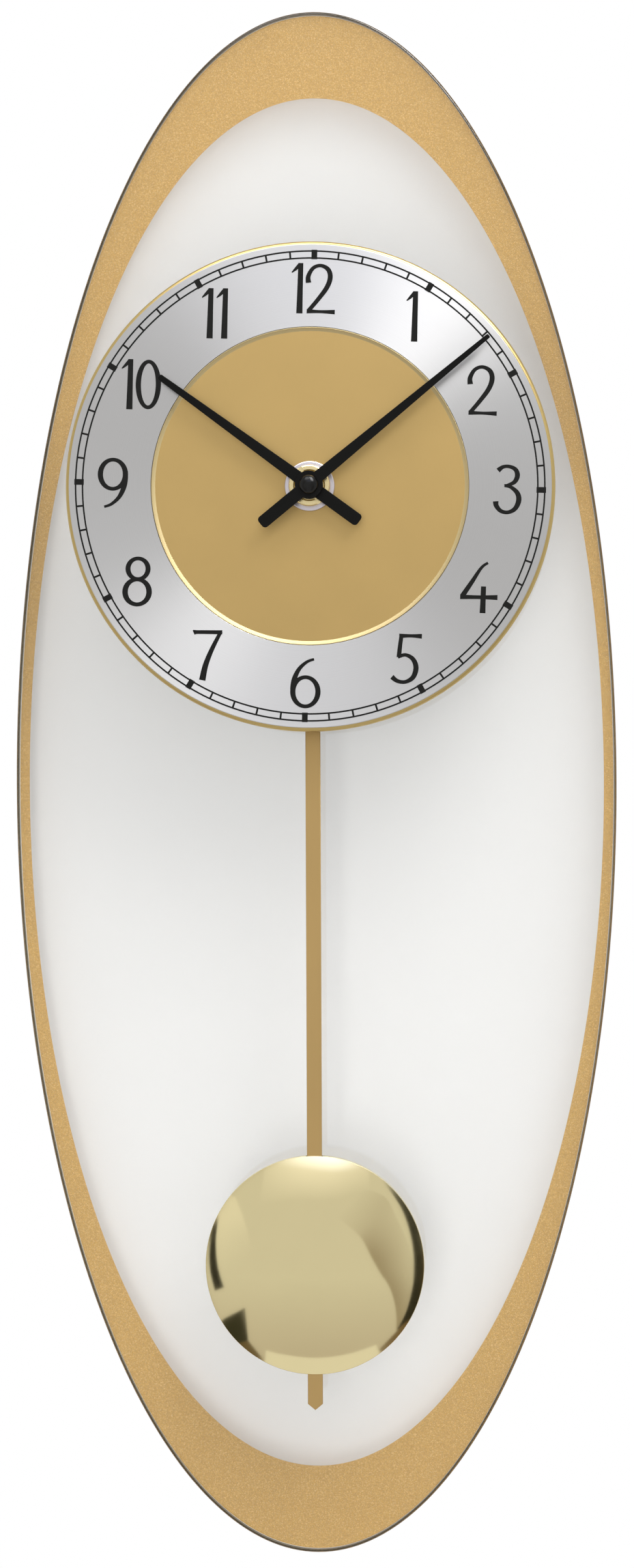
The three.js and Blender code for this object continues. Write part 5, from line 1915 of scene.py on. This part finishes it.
# What stands round the bob: windows and papers are light, the rest is darker
CARDS = (
    Card("wall_below", (0.53, 0.475, 0.455),
         ((-1.2, -0.1, 0.0), (0.0, -0.1, 0.0), (1.2, -0.1, 0.0)),
         ((-1.2, -1.3, 1.0), (0.0, -1.3, 1.0), (1.2, -1.3, 1.0))),
    Card("window_above", (1.25, 1.25, 1.3),
         ((-0.5, 0.55, 0.0), (-0.15, 0.6, 0.0), (0.15, 0.6, 0.0), (0.5, 0.68, 0.0)),
         ((-0.42, 1.08, 0.35), (-0.12, 1.02, 1.0), (0.2, 1.02, 1.0), (0.48, 1.04, 0.5))),
    Card("window_top", (2.2, 2.45, 3.4),
         ((-0.34, 0.9, 0.0), (-0.1, 0.87, 0.0), (0.18, 0.84, 0.0), (0.42, 0.87, 0.0)),
         ((-0.3, 1.06, 0.1), (-0.05, 1.05, 0.8), (0.22, 1.03, 1.0), (0.4, 1.0, 0.4))),
    Card("paper_left", (0.92, 0.92, 0.92),
         ((-0.72, 0.62, 1.0), (-0.66, 0.48, 1.0), (-0.6, 0.3, 0.4), (-0.56, 0.1, 0.0)),
         ((-0.86, 0.62, 1.0), (-0.92, 0.4, 1.0), (-0.9, 0.15, 0.6), (-0.86, -0.1, 0.0))),
    Card("cloth_right", (0.4, 0.355, 0.3),
         ((0.2, 0.46, 0.0), (0.38, 0.31, 0.3), (0.45, 0.225, 0.7), (0.52, 0.084, 1.0),
          (0.6, -0.06, 1.0),
          (0.67, -0.17, 1.0), (0.715, -0.3, 1.0), (0.737, -0.45, 1.0), (0.735, -0.62, 1.0)),
         ((0.45, 0.7, 0.0), (0.64, 0.62, 0.25), (0.74, 0.44, 0.2), (0.84, 0.22, 0.15),
          (0.9, 0.0, 0.15),
          (0.92, -0.14, 0.2), (0.9, -0.28, 0.4), (0.86, -0.45, 0.6), (0.8, -0.62, 0.8))),
    Card("stand_right", (0.03, 0.03, 0.022),
         ((0.61, 0.77, 0.2), (0.716, 0.632, 0.8), (0.8, 0.49, 1.0), (0.862, 0.309, 1.0),
          (0.895, 0.11, 1.0), (0.895, -0.1, 1.0), (0.872, -0.25, 1.0), (0.83, -0.4, 1.0),
          (0.785, -0.5, 1.0), (0.742, -0.575, 0.9)),
         ((0.64, 0.79, 0.2), (0.75, 0.66, 0.8), (0.855, 0.525, 1.0), (0.935, 0.34, 1.0),
          (0.975, 0.13, 1.0), (0.982, -0.1, 1.0), (0.96, -0.26, 1.0), (0.915, -0.41, 1.0),
          (0.86, -0.52, 1.0), (0.8, -0.6, 0.9))),
    Card("floor_right", (0.2, 0.14, 0.08),
         ((0.97, 0.13, 0.6), (0.975, -0.1, 1.0), (0.905, -0.4, 1.0), (0.765, -0.565, 1.0),
          (0.7, -0.635, 1.0), (0.58, -0.76, 0.8)),
         ((1.1, 0.13, 0.6), (1.1, -0.1, 1.0), (1.05, -0.45, 1.0), (0.92, -0.66, 1.0),
          (0.84, -0.75, 1.0), (0.68, -0.88, 0.8))),
    Card("paper_below", (0.9, 0.9, 0.9),
         ((-0.445, -0.765, 1.0), (-0.3, -0.8, 1.0), (0.0, -0.83, 1.0), (0.3, -0.795, 1.0),
          (0.555, -0.715, 1.0)),
         ((-0.47, -1.0, 1.0), (-0.32, -1.05, 1.0), (0.0, -1.1, 1.0), (0.32, -1.05, 1.0),
          (0.62, -0.92, 1.0))),
    Card("stand_low_left", (0.045, 0.045, 0.03),
         ((-0.83, -0.49, 1.0), (-0.76, -0.45, 1.0), (-0.69, -0.412, 1.0), (-0.63, -0.375, 0.7)),
         ((-0.9, -0.7, 1.0), (-0.76, -0.75, 1.0), (-0.62, -0.73, 1.0), (-0.605, -0.68, 1.0))),
    Card("floor_left", (0.16, 0.12, 0.07),
         ((-0.8, -0.66, 1.0), (-0.7, -0.7, 1.0), (-0.605, -0.68, 1.0)),
         ((-0.64, -0.9, 1.0), (-0.54, -0.93, 1.0), (-0.45, -0.88, 1.0))),
    Card("stand_left", (0.02, 0.02, 0.015),
         ((-0.868, 0.45, 0.5), (-0.885, 0.34, 1.0), (-0.895, 0.22, 1.0), (-0.889, 0.07, 1.0),
          (-0.866, -0.06, 1.0), (-0.823, -0.195, 1.0)),
         ((-0.886, 0.45, 0.3), (-0.918, 0.34, 0.9), (-0.942, 0.235, 1.0), (-0.957, 0.08, 1.0),
          (-0.945, -0.07, 1.0), (-0.905, -0.23, 1.0))),
    Card("room_left", (0.28, 0.21, 0.12),
         ((-0.3, 0.94, 0.3), (-0.58, 0.8, 0.8), (-0.8, 0.577, 1.0), (-0.95, 0.26, 1.0),
          (-0.985, 0.0, 1.0), (-0.95, -0.26, 1.0), (-0.87, -0.47, 0.7)),
         ((-0.33, 1.05, 0.3), (-0.65, 0.9, 0.8), (-0.9, 0.64, 1.0), (-1.06, 0.29, 1.0),
          (-1.1, 0.0, 1.0), (-1.06, -0.29, 1.0), (-0.97, -0.52, 0.7))),
)


@dataclass
class Studio:
    """The wall, the floor, the lights and the camera."""

    target: Vector
    distance: float = 1.3
    azimuth: float = 2.5
    roll: float = -0.22
    frame_height: float = 0.5088
    wall_colour: Colour = (0.845, 0.815, 0.81)
    floor_colour: Colour = (0.8, 0.79, 0.78)
    reach: float = 3.0
    floor_depth: float = 4.0
    floor_height: float = -1.1
    fill: float = 0.2
    lift: float = 0.22
    mirrored_room: float = 0.78
    card_distance: float = 1.25
    card_step: float = 0.01
    bob_radius: float = 0.035
    bob_sphere: float = 0.0975

    def build(self) -> None:
        """Set the studio up."""
        self.camera()
        self.world()
        far, deep, low = self.reach, self.floor_depth, self.floor_height
        wall = [(-far, 0, -far), (far, 0, -far), (far, 0, far), (-far, 0, far)]
        paint = self.backdrop_paint("studio_wall", self.wall_colour, True)
        self.sheet("backdrop_wall", wall, [(0, 1, 2, 3)], paint)
        floor = [(-far, 0, low), (-far, -deep, low), (far, -deep, low), (far, 0, low)]
        paint = self.backdrop_paint("studio_floor", self.floor_colour, False)
        self.sheet("studio_floor", floor, [(0, 1, 2, 3)], paint)
        for lamp in (
            Lamp("front_box", (-0.2, -1.6, -0.45), (0.4, 1.0), 5.35, Shows.MATT),
            Lamp("rear_box", (-0.4, 1.5, -0.3), (1.6, 1.2), 1.6, Shows.MATT),
            Lamp("key_strip", (0.49, -0.8, 0.96), (0.5, 0.9), 14.0, Shows.GLOSS),
            Lamp("window_strip", (-0.25, -0.8, 1.05), (0.7, 0.7), 4.2, Shows.GLOSS),
        ):
            lamp.build(self.target)
        for index, card in enumerate(CARDS):
            self.hang(card, self.card_distance - self.card_step * index)

    def camera(self) -> None:
        """Set the camera up at the photograph's viewing angle."""
        data = bpy.data.cameras.new("camera")
        data.sensor_fit = "AUTO"
        data.lens = data.sensor_width * self.distance / self.frame_height
        data.clip_start, data.clip_end = 0.05, 20.0
        camera = bpy.data.objects.new("camera", data)
        turn, roll = math.radians(self.azimuth), math.radians(self.roll)
        away = Vector((math.sin(turn), -math.cos(turn), 0.0))
        camera.location = self.target + away * self.distance
        aim = (-away).to_track_quat("-Z", "Y").to_matrix().to_4x4()
        camera.matrix_world = (
            Matrix.Translation(camera.location) @ aim @ Matrix.Rotation(roll, 4, "Z"))
        bpy.context.scene.collection.objects.link(camera)
        bpy.context.scene.camera = camera

    def world(self) -> None:
        """Fill the room with even light, pure white to the camera."""
        world = bpy.data.worlds.new("studio")
        bpy.context.scene.world = world
        world.use_nodes = True
        graph = Graph(world.node_tree)
        through = graph.ray("Transmission")
        strength = graph.ray("Camera").maximum(through) * (1.0 - self.fill) + self.fill
        mirrored = (graph.ray("Glossy") > through) * (self.mirrored_room - self.fill)
        light = graph.add(
            "Background", {"Color": graph.colour(1.0), "Strength": strength + mirrored})
        graph.add("OutputWorld", {"Surface": light})

    def backdrop_paint(self, name: str, colour: Colour, shaded: bool) -> bpy.types.Material:
        """Make a one-sided paint, white to the camera.

        Args:
            name: Name of the material.
            colour: Colour of the paint.
            shaded: Whether it shows its shadows, also through the glass.

        Returns:
            The material.
        """
        material, graph = new_material(name)
        through = graph.ray("Transmission")
        plain = graph.ray("Camera").maximum(self.lift if shaded else through)
        plaster = graph.add("BsdfDiffuse", {"Color": graph.colour(colour)})
        front = graph.mixed(plain, plaster, graph.add("Emission", {"Strength": 1.0}))
        behind = graph.add("NewGeometry", output="Backfacing").maximum(graph.ray("Shadow"))
        open_side = behind.maximum(graph.ray("Glossy") > through)
        paint = graph.mixed(open_side, front, graph.add("BsdfTransparent"))
        graph.add("OutputMaterial", {"Surface": paint})
        return material

    @staticmethod
    def sheet(
        name: str, corners: Sequence[Sequence[float]], faces: Sequence[Sequence[int]],
        material: bpy.types.Material,
    ) -> bpy.types.Object:
        """Stretch a sheet of backdrop.

        Args:
            name: Its name.
            corners: Its corners.
            faces: Its faces, anticlockwise as seen from its front.
            material: Its material.

        Returns:
            The sheet.
        """
        data = bpy.data.meshes.new(name)
        data.from_pydata([tuple(corner) for corner in corners], [], faces)
        data.materials.append(material)
        sheet = bpy.data.objects.new(name, data)
        bpy.context.scene.collection.objects.link(sheet)
        return sheet

    def mirrored(self, middle: Vector, spot: Vector, reach: float) -> Vector:
        """Find what the camera sees in a point of the bob.

        Args:
            middle: The middle of the sphere that the bob's face is part of.
            spot: How far the point is to the right of the bob's middle and above it, in its radii.
            reach: How far from the bob to look.

        Returns:
            The place that shows there.
        """
        lean = self.bob_radius / self.bob_sphere
        across, up = spot.x * lean, spot.y * lean
        normal = Vector((across, -math.sqrt(1 - across ** 2 - up ** 2), up))
        point = middle + normal * self.bob_sphere
        sight = (point - bpy.context.scene.camera.location).normalized()
        return point + (sight - 2 * sight.dot(normal) * normal) * reach

    def hang(self, card: Card, reach: float) -> None:
        """Hang a card where the bob shows it.

        Args:
            card: The card.
            reach: How far from the bob it hangs.
        """
        low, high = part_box("bob_shell")
        middle = Vector(((low.x + high.x) / 2, low.y + self.bob_sphere, (low.z + high.z) / 2))
        rows = card.grid()
        width = len(rows[0])
        spots = [spot for row in rows for spot in row]
        points = [self.mirrored(middle, spot, reach) for spot in spots]
        faces = [
            (first, first + 1, first + 1 + width, first + width)
            for first in range(width * (len(rows) - 1)) if first % width < width - 1]
        sheet = self.sheet(card.name, points, faces, card.paint())
        dense = sheet.data.attributes.new("dense", "FLOAT", "POINT")
        dense.data.foreach_set("value", [max(0.0, min(1.0, spot.z)) for spot in spots])
        show_only(sheet, Shows.GLOSS)
        sheet.visible_shadow = False
        log.info("%s: hung %.2f m from the bob", card.name, reach)


def main() -> None:
    """Build the clock and its studio."""
    logging.basicConfig(level=logging.INFO, format="%(name)s: %(message)s")
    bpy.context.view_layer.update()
    bench, palette = Bench(frame["nodes"]), Palette()
    Studio(Vector((0.00046, Box.of("glass_panel").front * -MM, -0.13614))).build()
    for assembly in (GlassPanel, Hanger, Bracket, Movement, Dial, Hands, Pendulum):
        assembly(bench, palette).build()
    bpy.context.scene.view_settings.view_transform = "Standard"


if __name__ == "__main__":
    main()
